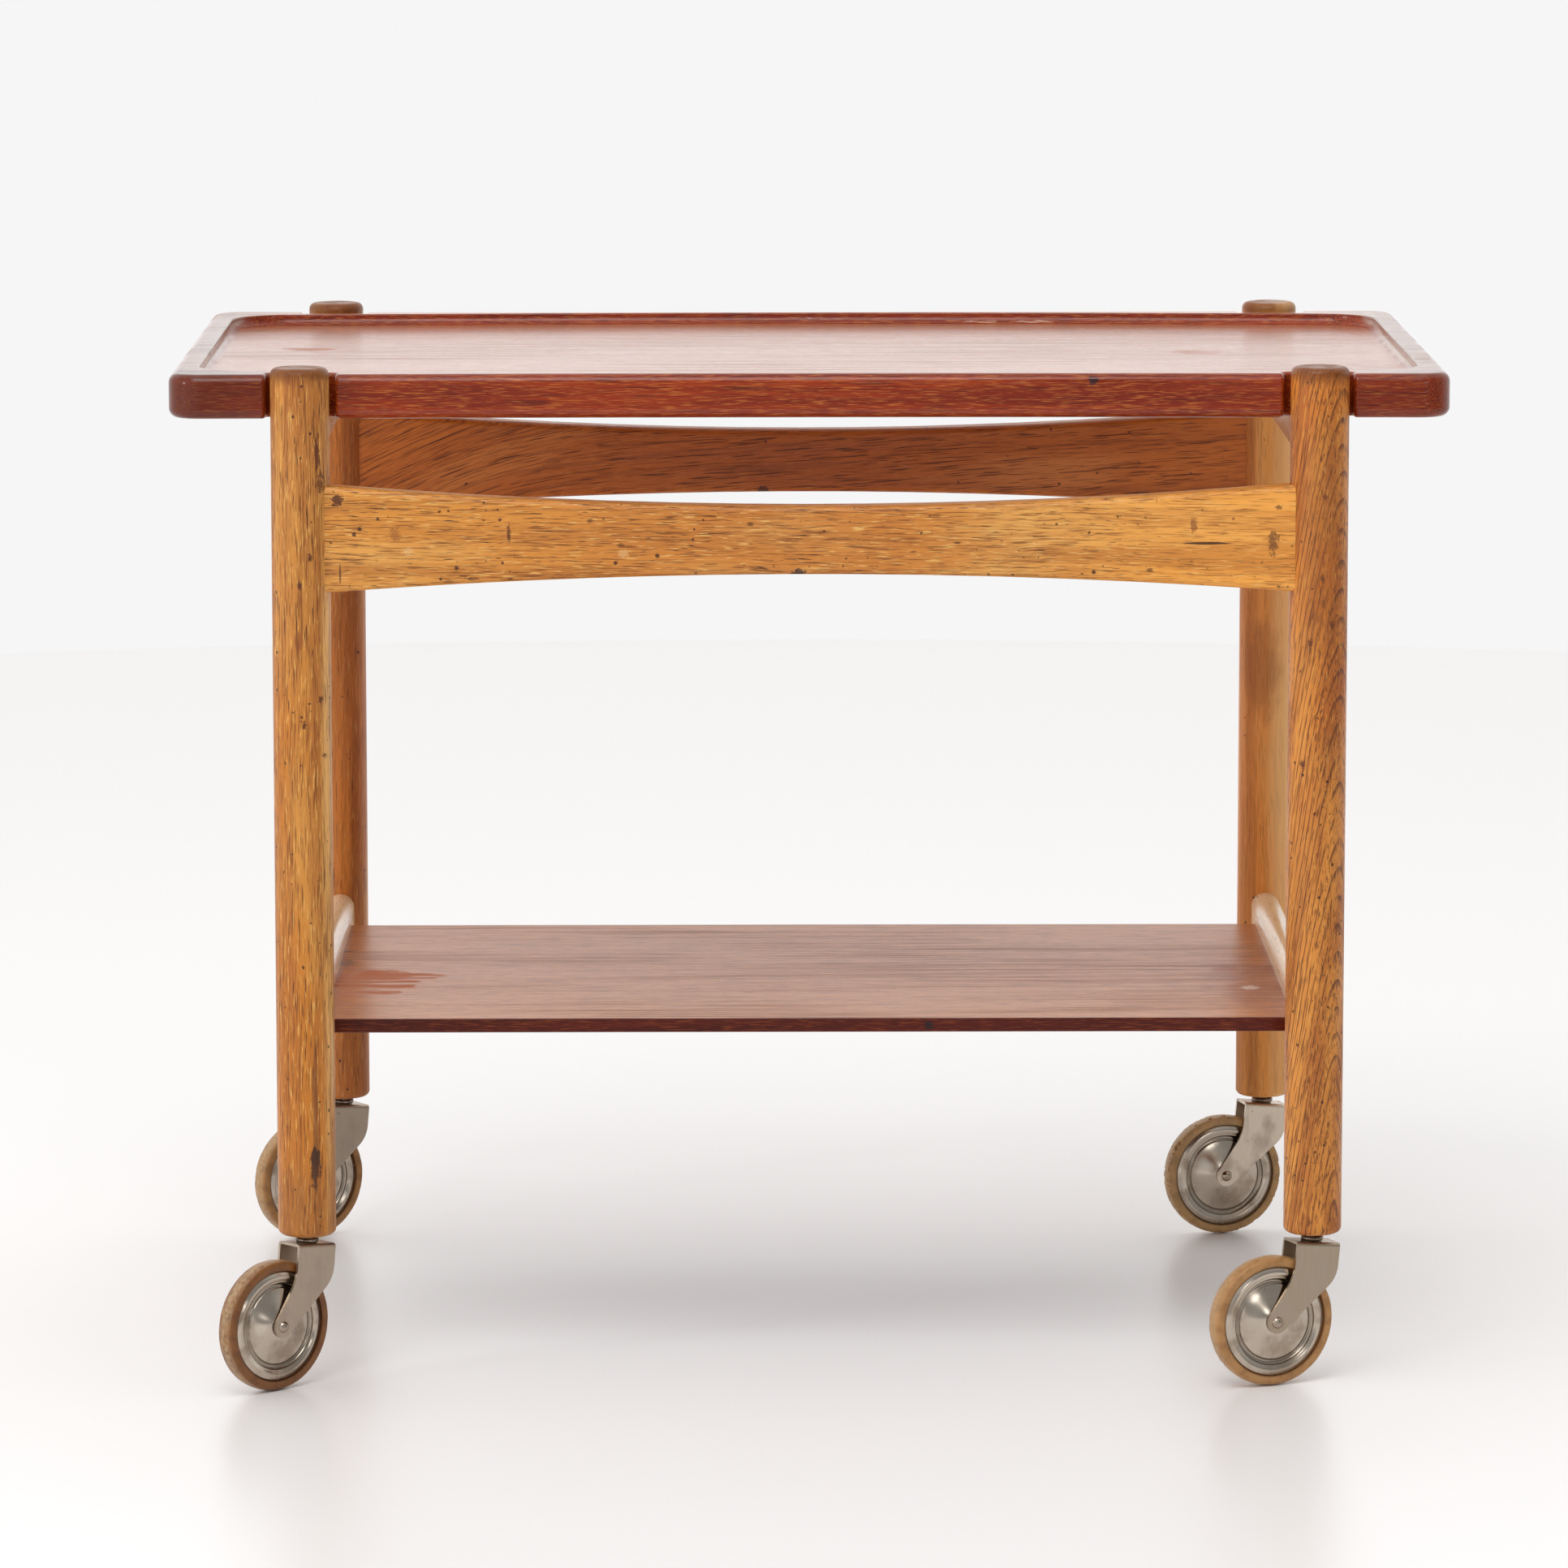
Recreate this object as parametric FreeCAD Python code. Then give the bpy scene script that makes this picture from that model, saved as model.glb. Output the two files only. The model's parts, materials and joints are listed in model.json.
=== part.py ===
"""Serving trolley: a loose solid-wood tray and a shelf on four round legs with swivel castors.

Millimetres, +Z up, +X along the trolley, front towards -Y.
The origin is on the floor, midway between the four legs.
"""
import FreeCAD
import Part

import math
import os

Vec = FreeCAD.Vector
ALONG = Vec(1, 0, 0)
ACROSS = Vec(0, 1, 0)
UP = Vec(0, 0, 1)
CENTRE = Vec(0, 0, 0)
TOUCH = 1e-4  # two places closer than this are the same

# Legs
LEG_SPACING_X = 650.0  # between leg axes, along the trolley
LEG_SPACING_Y = 480.0  # between leg axes, across the trolley
LEG_DIAMETER = 37.5
LEG_LENGTH = 561.5
LEG_TOP_ROUND = 4.5
LEG_FOOT_ROUND = 4.0

# Tray
TRAY_OVERHANG = 85.0  # past the leg axes at each end
TRAY_SIDE_INSET = 5.0  # long sides inside the leg axes, at the tray's ends
TRAY_WAIST = 6.0  # how far each long side draws in further at its middle
TRAY_THICKNESS = 28.4
TRAY_SINK = 5.6  # the rim lies this far below the tops of the legs
TRAY_CORNER = 20.0
TRAY_EDGE_ROUND = 6.0
NOTCH_GAP = 3.2  # clear space between a leg and its notch in the tray
NOTCH_CORNER = 4.0
NOTCH_EDGE_ROUND = 2.8
WELL_DEPTH = 7.5
WELL_END_RIM = 17.0  # flat rim at each short end
WELL_STRIP = 10.5  # wood between a leg's notch and the well
WELL_BOW = 10.0  # how far the well's long sides swell between the legs
WELL_CORNER = 38.0
WELL_LIP_ROUND = 1.2
WELL_WALL = 0.3  # upright wall left between the lip and the cove

# Upper cross rails, which carry the tray
UPPER_RAIL_HEIGHT = 31.0
UPPER_RAIL_THICKNESS = 20.0
UPPER_RAIL_BOTTOM_ROUND = 4.0
UPPER_RAIL_TOP_ROUND = 1.5

# Long rails between the legs, waisted
LONG_RAIL_STEP = 10.2  # ends start this far below the upper cross rails
LONG_RAIL_END_HEIGHT = 68.2
LONG_RAIL_TOP_WAIST = 13.2
LONG_RAIL_BOTTOM_WAIST = 11.4
LONG_RAIL_THICKNESS = 21.0
LONG_RAIL_ROUND = 4.0

# Lower cross rails, full round on top, which hold the shelf
LOWER_RAIL_RISE = 120.0  # underside of the rail above the foot of the leg
LOWER_RAIL_HEIGHT = 27.0
LOWER_RAIL_THICKNESS = 19.5
LOWER_RAIL_ROUND = 2.0

# Shelf, tongued into the lower cross rails
SHELF_LIFT = 1.7  # underside of the shelf above that of the rails
SHELF_THICKNESS = 9.1
SHELF_LEG_GAP = 35.2  # between the shelf's long edges and the legs
SHELF_EDGE_ROUND = 1.0
TONGUE_THICKNESS = 3.5
TONGUE_LENGTH = 6.0
TONGUE_STOP = 8.0  # the tongue ends this far inside the shelf's long edges

# Tenons and glue lines
TENON_THICKNESS = 9.0
TENON_LENGTH = 16.0  # past the leg's surface
TENON_SHOULDER = 6.0  # above and below the tenon
MORTISE_SPARE = 1.0  # empty depth behind a tenon
GLUE_GAP = 0.05

# Castor wheel, whose widths are measured from its middle plane
HUB_DIAMETER = 72.0
HUB_RING_STAND = 6.1  # outer face of the flat ring
HUB_RING_CROWN = 0.35
HUB_RING_WIDTH = 6.0
HUB_EDGE_ROLL = 1.4
HUB_GROOVE_WIDTH = 4.0
HUB_GROOVE_DEPTH = 2.6
HUB_DOME_EDGE_DROP = 1.4  # edge of the dome below the ring
HUB_DOME_RISE = 1.5  # middle of the dome above the ring
HUB_DOME_SWELL = 0.7  # bulge of the dome's flank
HUB_SHEET = 1.0
TYRE_HEIGHT = 6.5  # rubber outside the hub
TYRE_BEAD_HEIGHT = 6.5  # rubber held between the hub discs
TYRE_STAND = 0.4  # sidewall beyond the hub's ring
TYRE_FLANK = 3.0  # flat part of the sidewall
TYRE_CROWN = 0.4  # how much the tread rises from its edges to its middle
TYRE_SHOULDER = 3.0  # tread's edge inside the sidewall
TYRE_SHOULDER_SWELL = 0.8  # bulge of the shoulder over a plain bevel
BUSH_WALL = 1.4
BUSH_STAND = 0.75  # end of the bush beyond the dome
AXLE_DIAMETER = 6.0
AXLE_HEAD_LEDGE = 0.8
AXLE_HEAD_HEIGHT = 2.6

# Castor fork and swivel
CASTOR_TRAIL = 29.5  # wheel axis behind the swivel axis
FORK_CLEARANCE = 7.8  # top of the fork's plate above the wheel
FORK_RAKE = 6.0  # degrees that the plate tips up towards the wheel
FORK_PLATE_LENGTH = 31.0
FORK_SHEET = 1.8
FORK_BEND_ROUND = 0.6  # inside radius of the bends
FORK_EYE_WALL = 4.2  # metal round the axle
FORK_BACK_ANGLE = 46.0  # slope of the back edge below the plate, degrees
FORK_FRONT_ANGLE = 61.0  # slope of the front edge below the plate, degrees
FORK_BACK_KNEE = 20.0
FORK_FRONT_KNEE = 30.0
STEM_DIAMETER = 9.0
STEM_LENGTH = 40.0  # above the foot of the leg
STEM_TIP_ROUND = 2.0
STEM_HEAD_LEDGE = 2.0
STEM_HEAD_HEIGHT = 2.4
STEM_HEAD_ROUND = 0.8
COLLAR_HEIGHT = 5.7
COLLAR_NECK_WALL = 1.7
COLLAR_BEAD_WALL = 2.9  # over the round bead at the collar's foot
COLLAR_BEAD_HEIGHT = 3.6
SOCKET_WALL = 2.0
SOCKET_SPARE = 3.0  # socket above the tip of the stem
RUNNING_GAP = 0.06  # radial clearance of the stem and of the axle
END_GAP = 0.1  # end play of the collar and of the bush
FIXED_GAP = 0.02  # between pressed and riveted pieces

# Degrees that each castor has swung towards the front from trailing to the left
CASTOR_SWING = {
    "front_left": 44.0,
    "front_right": 23.0,
    "rear_left": 36.0,
    "rear_right": 15.5,
}

# Which way each leg lies from the middle
CORNERS = {
    "front_left": (-1, -1),
    "front_right": (1, -1),
    "rear_left": (-1, 1),
    "rear_right": (1, 1),
}
SIDES = {"left": -1, "right": 1}
FACES = {"front": -1, "rear": 1}

# Wheel sizes that follow
HUB_RADIUS = HUB_DIAMETER / 2
WHEEL_RADIUS = HUB_RADIUS + TYRE_HEIGHT
HUB_DOME_STAND = HUB_RING_STAND + HUB_DOME_RISE
AXLE_RADIUS = AXLE_DIAMETER / 2
BUSH_BORE_RADIUS = AXLE_RADIUS + RUNNING_GAP
BUSH_RADIUS = BUSH_BORE_RADIUS + BUSH_WALL
BUSH_HALF = HUB_DOME_STAND + BUSH_STAND

# Fork and swivel sizes that follow
FORK_RISE = WHEEL_RADIUS + FORK_CLEARANCE
FORK_INNER_HALF = BUSH_HALF + END_GAP
FORK_HALF = FORK_INNER_HALF + FORK_SHEET
STEM_RADIUS = STEM_DIAMETER / 2
SOCKET_BORE_RADIUS = STEM_RADIUS + RUNNING_GAP
SOCKET_RADIUS = SOCKET_BORE_RADIUS + SOCKET_WALL
SOCKET_LENGTH = STEM_LENGTH + SOCKET_SPARE + SOCKET_WALL

# Heights that follow, from the floor up
AXLE_Z = WHEEL_RADIUS
PLATE_TOP_Z = AXLE_Z + FORK_RISE
LEG_FOOT_Z = PLATE_TOP_Z + COLLAR_HEIGHT
LOWER_RAIL_BOTTOM_Z = LEG_FOOT_Z + LOWER_RAIL_RISE
LOWER_RAIL_TOP_Z = LOWER_RAIL_BOTTOM_Z + LOWER_RAIL_HEIGHT
SHELF_BOTTOM_Z = LOWER_RAIL_BOTTOM_Z + SHELF_LIFT
SHELF_TOP_Z = SHELF_BOTTOM_Z + SHELF_THICKNESS
LEG_TOP_Z = LEG_FOOT_Z + LEG_LENGTH
TRAY_TOP_Z = LEG_TOP_Z - TRAY_SINK
TRAY_BOTTOM_Z = TRAY_TOP_Z - TRAY_THICKNESS
UPPER_RAIL_BOTTOM_Z = TRAY_BOTTOM_Z - UPPER_RAIL_HEIGHT
LONG_RAIL_TOP_Z = UPPER_RAIL_BOTTOM_Z - LONG_RAIL_STEP
LONG_RAIL_BOTTOM_Z = LONG_RAIL_TOP_Z - LONG_RAIL_END_HEIGHT

# Plan sizes that follow
LEG_RADIUS = LEG_DIAMETER / 2
LEG_X = LEG_SPACING_X / 2
LEG_Y = LEG_SPACING_Y / 2
TRAY_HALF_X = LEG_X + TRAY_OVERHANG
TRAY_HALF_Y = LEG_Y - TRAY_SIDE_INSET
NOTCH_HALF = LEG_RADIUS + NOTCH_GAP
SHELF_HALF_X = LEG_X - LOWER_RAIL_THICKNESS / 2
SHELF_HALF_Y = LEG_Y - LEG_RADIUS - SHELF_LEG_GAP

# Each kind of rail's direction and the heights of its ends, for its tenons and their mortises
RAIL_ENDS = {
    "long": (ALONG, LONG_RAIL_BOTTOM_Z, LONG_RAIL_TOP_Z),
    "upper": (ACROSS, UPPER_RAIL_BOTTOM_Z, TRAY_BOTTOM_Z),
    "lower": (ACROSS, LOWER_RAIL_BOTTOM_Z, LOWER_RAIL_TOP_Z),
}


def box(corner, opposite):
    """Block between two opposite corners, in any order."""
    bounds = FreeCAD.BoundBox(corner, corner)
    bounds.add(opposite)
    low = Vec(bounds.XMin, bounds.YMin, bounds.ZMin)
    return Part.makeBox(bounds.XLength, bounds.YLength, bounds.ZLength, low)


def outline(start, *steps):
    """Flat face inside a closed outline.

    Each step is the end of a straight line, or a pair of points (through, end) for an arc.
    """
    edges = []
    here = start
    for step in steps:
        if isinstance(step, tuple):
            through, end = step
            edges.append(Part.Arc(here, through, end).toShape())
        else:
            end = step
            edges.append(Part.LineSegment(here, end).toShape())
        here = end
    return Part.Face(Part.Wire(edges))


def parabola(start, middle, end):
    """Parabolic edge between two points, through the top of its bow."""
    curve = Part.BezierCurve()
    curve.setPoles([start, middle * 2 - (start + end) / 2, end])
    return curve.toShape()


def turned(face, axis):
    """Solid of revolution of a face about an axis through the origin."""
    return face.revolve(CENTRE, axis, 360)


def rounded(shape, radius, picks):
    """Shape with every edge that the test picks rounded over."""
    return shape.makeFillet(radius, [edge for edge in shape.Edges if picks(edge)])


def rounded_cut(blank, cutter, radius):
    """Cut a shape out of a blank, and round the edges where the cut breaks the surface."""

    def breaks_surface(edge):
        middle = Part.Vertex(edge.valueAt((edge.FirstParameter + edge.LastParameter) / 2))
        return all(solid.Shells[0].distToShape(middle)[0] < TOUCH for solid in (blank, cutter))

    return rounded(blank.cut(cutter), radius, breaks_surface)


def level_at(z):
    """Test for edges that lie flat at one height."""
    return lambda edge: abs(edge.BoundBox.ZMin - z) < TOUCH and abs(edge.BoundBox.ZMax - z) < TOUCH


def runs(direction, picks):
    """Test for edges between two ends along a direction that another test picks too."""

    def along(edge):
        ends = edge.Vertexes
        return len(ends) == 2 and (ends[1].Point - ends[0].Point).cross(direction).Length < TOUCH

    return lambda edge: along(edge) and picks(edge)


def anywhere(edge):
    """Test that every edge passes."""
    return True


def leg_place(corner):
    """Plan position of a leg's axis."""
    side, face = CORNERS[corner]
    return Vec(side * LEG_X, face * LEG_Y, 0)


def leg_envelope(corner):
    """Space that a leg takes, with its glue line, for coping the rails."""
    foot = leg_place(corner) + UP * LEG_FOOT_Z
    return Part.makeCylinder(LEG_RADIUS + GLUE_GAP, LEG_LENGTH, foot)


def tenon(corner, rail_end, spare=0.0, extra_depth=0.0):
    """Tenon from inside a rail into a leg, or its mortise where it is given spare room."""
    along, low_z, high_z = rail_end
    place = leg_place(corner)
    inward = along * -math.copysign(1, along.dot(place))
    across = UP.cross(inward) * (TENON_THICKNESS / 2 + spare)
    tip = place + inward * (LEG_RADIUS - TENON_LENGTH - extra_depth)
    root = place + inward * (LEG_RADIUS + TENON_SHOULDER)
    bottom = UP * (low_z + TENON_SHOULDER - spare)
    top = UP * (high_z - TENON_SHOULDER + spare)
    return box(tip - across + bottom, root + across + top)


def fitted_rail(rail, kind, corners):
    """Rail coped to the round legs at its two ends, with its tenons."""
    coped = rail.cut([leg_envelope(corner) for corner in corners])
    tenons = [tenon(corner, RAIL_ENDS[kind]) for corner in corners]
    return coped.fuse(tenons).removeSplitter()


def make_leg(corner):
    """Round leg with its mortises and the bore for the castor's socket."""
    foot = leg_place(corner) + UP * LEG_FOOT_Z
    leg = Part.makeCylinder(LEG_RADIUS, LEG_LENGTH, foot)
    leg = rounded(leg, LEG_TOP_ROUND, level_at(LEG_TOP_Z))
    leg = rounded(leg, LEG_FOOT_ROUND, level_at(LEG_FOOT_Z))
    mortises = [tenon(corner, end, GLUE_GAP, MORTISE_SPARE) for end in RAIL_ENDS.values()]
    bore = Part.makeCylinder(SOCKET_RADIUS + FIXED_GAP, SOCKET_LENGTH + FIXED_GAP, foot)
    return leg.cut(mortises + [bore])


def make_long_rail(face):
    """Waisted rail along one long side, higher at its ends than in its middle."""
    y = FACES[face] * LEG_Y - LONG_RAIL_THICKNESS / 2
    # The waists are sizes at the legs' surfaces, and the curves run on to the legs' axes
    reach = (LEG_X / (LEG_X - LEG_RADIUS)) ** 2
    mid_top = LONG_RAIL_TOP_Z - LONG_RAIL_TOP_WAIST
    mid_bottom = LONG_RAIL_BOTTOM_Z + LONG_RAIL_BOTTOM_WAIST
    end_top = mid_top + LONG_RAIL_TOP_WAIST * reach
    end_bottom = mid_bottom - LONG_RAIL_BOTTOM_WAIST * reach
    corners = [
        Vec(-LEG_X, y, end_bottom),
        Vec(LEG_X, y, end_bottom),
        Vec(LEG_X, y, end_top),
        Vec(-LEG_X, y, end_top),
    ]
    edges = [
        parabola(corners[0], Vec(0, y, mid_bottom), corners[1]),
        Part.LineSegment(corners[1], corners[2]).toShape(),
        parabola(corners[2], Vec(0, y, mid_top), corners[3]),
        Part.LineSegment(corners[3], corners[0]).toShape(),
    ]
    side = Part.Face(Part.Wire(edges))
    rail = side.extrude(ACROSS * LONG_RAIL_THICKNESS)
    rail = fitted_rail(rail, "long", [f"{face}_left", f"{face}_right"])
    return rounded(rail, LONG_RAIL_ROUND, lambda edge: edge.Length > LEG_X)


def make_upper_rail(side):
    """Cross rail under one end of the tray, flat on top to carry it."""
    middle = ALONG * SIDES[side] * LEG_X
    half = ALONG * UPPER_RAIL_THICKNESS / 2
    end = ACROSS * LEG_Y
    rail = box(
        middle - half - end + UP * UPPER_RAIL_BOTTOM_Z,
        middle + half + end + UP * TRAY_BOTTOM_Z,
    )
    rail = rounded(rail, UPPER_RAIL_BOTTOM_ROUND, runs(ACROSS, level_at(UPPER_RAIL_BOTTOM_Z)))
    rail = rounded(rail, UPPER_RAIL_TOP_ROUND, runs(ACROSS, level_at(TRAY_BOTTOM_Z)))
    return fitted_rail(rail, "upper", [f"front_{side}", f"rear_{side}"])


def shelf_tongue(side, spare=0.0):
    """Tongue on one end of the shelf, or its groove where it is given spare room."""
    root_x = SIDES[side] * (SHELF_HALF_X - TONGUE_LENGTH)
    tip_x = SIDES[side] * (SHELF_HALF_X + TONGUE_LENGTH + spare)
    half_y = SHELF_HALF_Y - TONGUE_STOP + spare
    middle_z = (SHELF_TOP_Z + SHELF_BOTTOM_Z) / 2
    half_z = TONGUE_THICKNESS / 2 + spare
    return box(Vec(root_x, -half_y, middle_z - half_z), Vec(tip_x, half_y, middle_z + half_z))


def make_lower_rail(side):
    """Cross rail with a full round top and a stopped groove for the shelf."""
    x = SIDES[side] * LEG_X
    half = LOWER_RAIL_THICKNESS / 2
    spring_z = LOWER_RAIL_TOP_Z - half
    section = outline(
        Vec(x - half, -LEG_Y, LOWER_RAIL_BOTTOM_Z),
        Vec(x + half, -LEG_Y, LOWER_RAIL_BOTTOM_Z),
        Vec(x + half, -LEG_Y, spring_z),
        (Vec(x, -LEG_Y, LOWER_RAIL_TOP_Z), Vec(x - half, -LEG_Y, spring_z)),
        Vec(x - half, -LEG_Y, LOWER_RAIL_BOTTOM_Z),
    )
    rail = section.extrude(ACROSS * LEG_SPACING_Y)
    rail = rounded(rail, LOWER_RAIL_ROUND, runs(ACROSS, level_at(LOWER_RAIL_BOTTOM_Z)))
    rail = fitted_rail(rail, "lower", [f"front_{side}", f"rear_{side}"])
    return rail.cut(shelf_tongue(side, GLUE_GAP))


def make_shelf():
    """Thin shelf between the lower cross rails, with a tongue on each end."""
    half_x = SHELF_HALF_X - GLUE_GAP
    shelf = box(Vec(-half_x, -SHELF_HALF_Y, SHELF_BOTTOM_Z), Vec(half_x, SHELF_HALF_Y, SHELF_TOP_Z))
    shelf = rounded(shelf, SHELF_EDGE_ROUND, runs(ALONG, anywhere))
    return shelf.fuse([shelf_tongue(side) for side in SIDES]).removeSplitter()


def bowed_plan(half_x, end_y, middle_y, z):
    """Face with straight short ends and long sides that bow in or out to their middle."""
    return outline(
        Vec(-half_x, -end_y, z),
        (Vec(0, -middle_y, z), Vec(half_x, -end_y, z)),
        Vec(half_x, end_y, z),
        (Vec(0, middle_y, z), Vec(-half_x, end_y, z)),
        Vec(-half_x, -end_y, z),
    )


def tray_blank():
    """Tray before its well and notches: waisted long sides, round corners and edges."""
    plan = bowed_plan(TRAY_HALF_X, TRAY_HALF_Y, TRAY_HALF_Y - TRAY_WAIST, TRAY_BOTTOM_Z)
    blank = rounded(plan.extrude(UP * TRAY_THICKNESS), TRAY_CORNER, runs(UP, anywhere))
    blank = rounded(blank, TRAY_EDGE_ROUND, level_at(TRAY_TOP_Z))
    return rounded(blank, TRAY_EDGE_ROUND, level_at(TRAY_BOTTOM_Z))


def tray_well():
    """Space milled out of the tray: bowed long sides, round corners, coved foot."""
    floor_z = TRAY_TOP_Z - WELL_DEPTH
    half_x = TRAY_HALF_X - WELL_END_RIM
    at_legs_y = LEG_Y - NOTCH_HALF - WELL_STRIP
    middle_y = at_legs_y + WELL_BOW
    end_y = middle_y - WELL_BOW * (half_x / LEG_X) ** 2
    plan = bowed_plan(half_x, end_y, middle_y, floor_z)
    well = rounded(plan.extrude(UP * TRAY_THICKNESS), WELL_CORNER, runs(UP, anywhere))
    return rounded(well, WELL_DEPTH - WELL_LIP_ROUND - WELL_WALL, level_at(floor_z))


def leg_notch(corner):
    """Space cut out of the tray's long side round one leg."""
    outward = ACROSS * CORNERS[corner][1]
    place = leg_place(corner)
    floor = place - outward * NOTCH_HALF
    notch = box(
        floor - ALONG * NOTCH_HALF + UP * (TRAY_BOTTOM_Z - TRAY_THICKNESS),
        place + outward * NOTCH_HALF + ALONG * NOTCH_HALF + UP * (TRAY_TOP_Z + TRAY_THICKNESS),
    )
    return rounded(
        notch, NOTCH_CORNER, runs(UP, lambda edge: abs(edge.BoundBox.Center.y - floor.y) < TOUCH)
    )


def make_tray():
    """Loose tray with a milled well, notched round the legs."""
    tray = tray_blank()
    for corner in CORNERS:
        tray = rounded_cut(tray, leg_notch(corner), NOTCH_EDGE_ROUND)
    return rounded_cut(tray, tray_well(), WELL_LIP_ROUND)


def at_wheel(shape):
    """Move a piece made about the origin to the wheel's axis."""
    return shape.translated(Vec(CASTOR_TRAIL, 0, AXLE_Z))


def make_tyre():
    """Rubber tyre with rounded shoulders and a bead held between the hub discs."""
    wall = HUB_RING_STAND + TYRE_STAND
    bead = HUB_RING_STAND - HUB_RING_CROWN - HUB_SHEET - FIXED_GAP
    tread = wall - TYRE_SHOULDER
    bead_r = HUB_RADIUS - TYRE_BEAD_HEIGHT
    wall_r = HUB_RADIUS + GLUE_GAP
    flank_r = wall_r + TYRE_FLANK
    tread_r = WHEEL_RADIUS - TYRE_CROWN
    shoulder_r = (flank_r + tread_r) / 2 + TYRE_SHOULDER_SWELL
    shoulder = (wall + tread) / 2 + TYRE_SHOULDER_SWELL
    section = outline(
        Vec(bead_r, -bead, 0),
        Vec(wall_r, -bead, 0),
        Vec(wall_r, -wall, 0),
        Vec(flank_r, -wall, 0),
        (Vec(shoulder_r, -shoulder, 0), Vec(tread_r, -tread, 0)),
        (Vec(WHEEL_RADIUS, 0, 0), Vec(tread_r, tread, 0)),
        (Vec(shoulder_r, shoulder, 0), Vec(flank_r, wall, 0)),
        Vec(wall_r, wall, 0),
        Vec(wall_r, bead, 0),
        Vec(bead_r, bead, 0),
        Vec(bead_r, -bead, 0),
    )
    return at_wheel(turned(section, ACROSS))


def make_hub_disc(facing):
    """Pressed hub disc: domed middle, groove, crowned ring and rolled edge."""
    hole_r = BUSH_RADIUS + FIXED_GAP
    edge_r = HUB_RADIUS - HUB_EDGE_ROLL
    ring_r = edge_r - HUB_RING_WIDTH
    dome_r = ring_r - HUB_GROOVE_WIDTH
    ring_edge = HUB_RING_STAND - HUB_RING_CROWN
    dome_edge = HUB_RING_STAND - HUB_DOME_EDGE_DROP
    flank = (HUB_DOME_STAND + dome_edge) / 2 + HUB_DOME_SWELL
    groove = HUB_RING_STAND - HUB_GROOVE_DEPTH
    rim = ring_edge - HUB_SHEET
    # A quarter turn of the rolled edge passes this far inside its corner
    inside = HUB_EDGE_ROLL * (1 - math.sqrt(0.5))

    def at(radius, stand, depth=0.0):
        return Vec(radius, facing * (stand - depth), 0)

    section = outline(
        at(hole_r, HUB_DOME_STAND),
        (at((hole_r + dome_r) / 2, flank), at(dome_r, dome_edge)),
        (at((dome_r + ring_r) / 2, groove), at(ring_r, ring_edge)),
        (at((ring_r + edge_r) / 2, HUB_RING_STAND), at(edge_r, ring_edge)),
        (at(HUB_RADIUS - inside, ring_edge, inside), at(HUB_RADIUS, rim)),
        at(edge_r, rim),
        at(ring_r, rim),
        (at((dome_r + ring_r) / 2, groove, HUB_SHEET), at(dome_r, dome_edge, HUB_SHEET)),
        (at((hole_r + dome_r) / 2, flank, HUB_SHEET), at(hole_r, HUB_DOME_STAND, HUB_SHEET)),
        at(hole_r, HUB_DOME_STAND),
    )
    return at_wheel(turned(section, ACROSS))


def make_bush():
    """Bush that carries the hub discs and turns on the axle."""
    start = ACROSS * -BUSH_HALF
    tube = Part.makeCylinder(BUSH_RADIUS, BUSH_HALF * 2, start, ACROSS)
    bore = Part.makeCylinder(BUSH_BORE_RADIUS, BUSH_HALF * 2, start, ACROSS)
    return at_wheel(tube.cut(bore))


def make_axle():
    """Riveted axle with a domed head outside each cheek of the fork."""
    tip = FORK_HALF + AXLE_HEAD_HEIGHT
    head_r = AXLE_RADIUS + AXLE_HEAD_LEDGE
    # The heads are caps of a ball, and the arc passes halfway down the cap
    ball_r = (head_r**2 + AXLE_HEAD_HEIGHT**2) / (2 * AXLE_HEAD_HEIGHT)
    halfway = math.asin(head_r / ball_r) / 2
    dome_r = ball_r * math.sin(halfway)
    dome = tip - ball_r * (1 - math.cos(halfway))
    section = outline(
        Vec(0, -tip, 0),
        (Vec(dome_r, -dome, 0), Vec(head_r, -FORK_HALF, 0)),
        Vec(AXLE_RADIUS, -FORK_HALF, 0),
        Vec(AXLE_RADIUS, FORK_HALF, 0),
        Vec(head_r, FORK_HALF, 0),
        (Vec(dome_r, dome, 0), Vec(0, tip, 0)),
        Vec(0, -tip, 0),
    )
    return at_wheel(turned(section, ACROSS))


def raked(shape):
    """Tip a shape made under the plate's middle up towards the wheel, and lift it into place."""
    return shape.rotated(CENTRE, ACROSS, -FORK_RAKE).translated(UP * PLATE_TOP_Z)


def plate_slab(low, high):
    """Wide raked block between two heights measured from the plate's top."""
    reach = (ALONG + ACROSS) * FORK_PLATE_LENGTH
    return raked(box(UP * low - reach, UP * high + reach))


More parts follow.
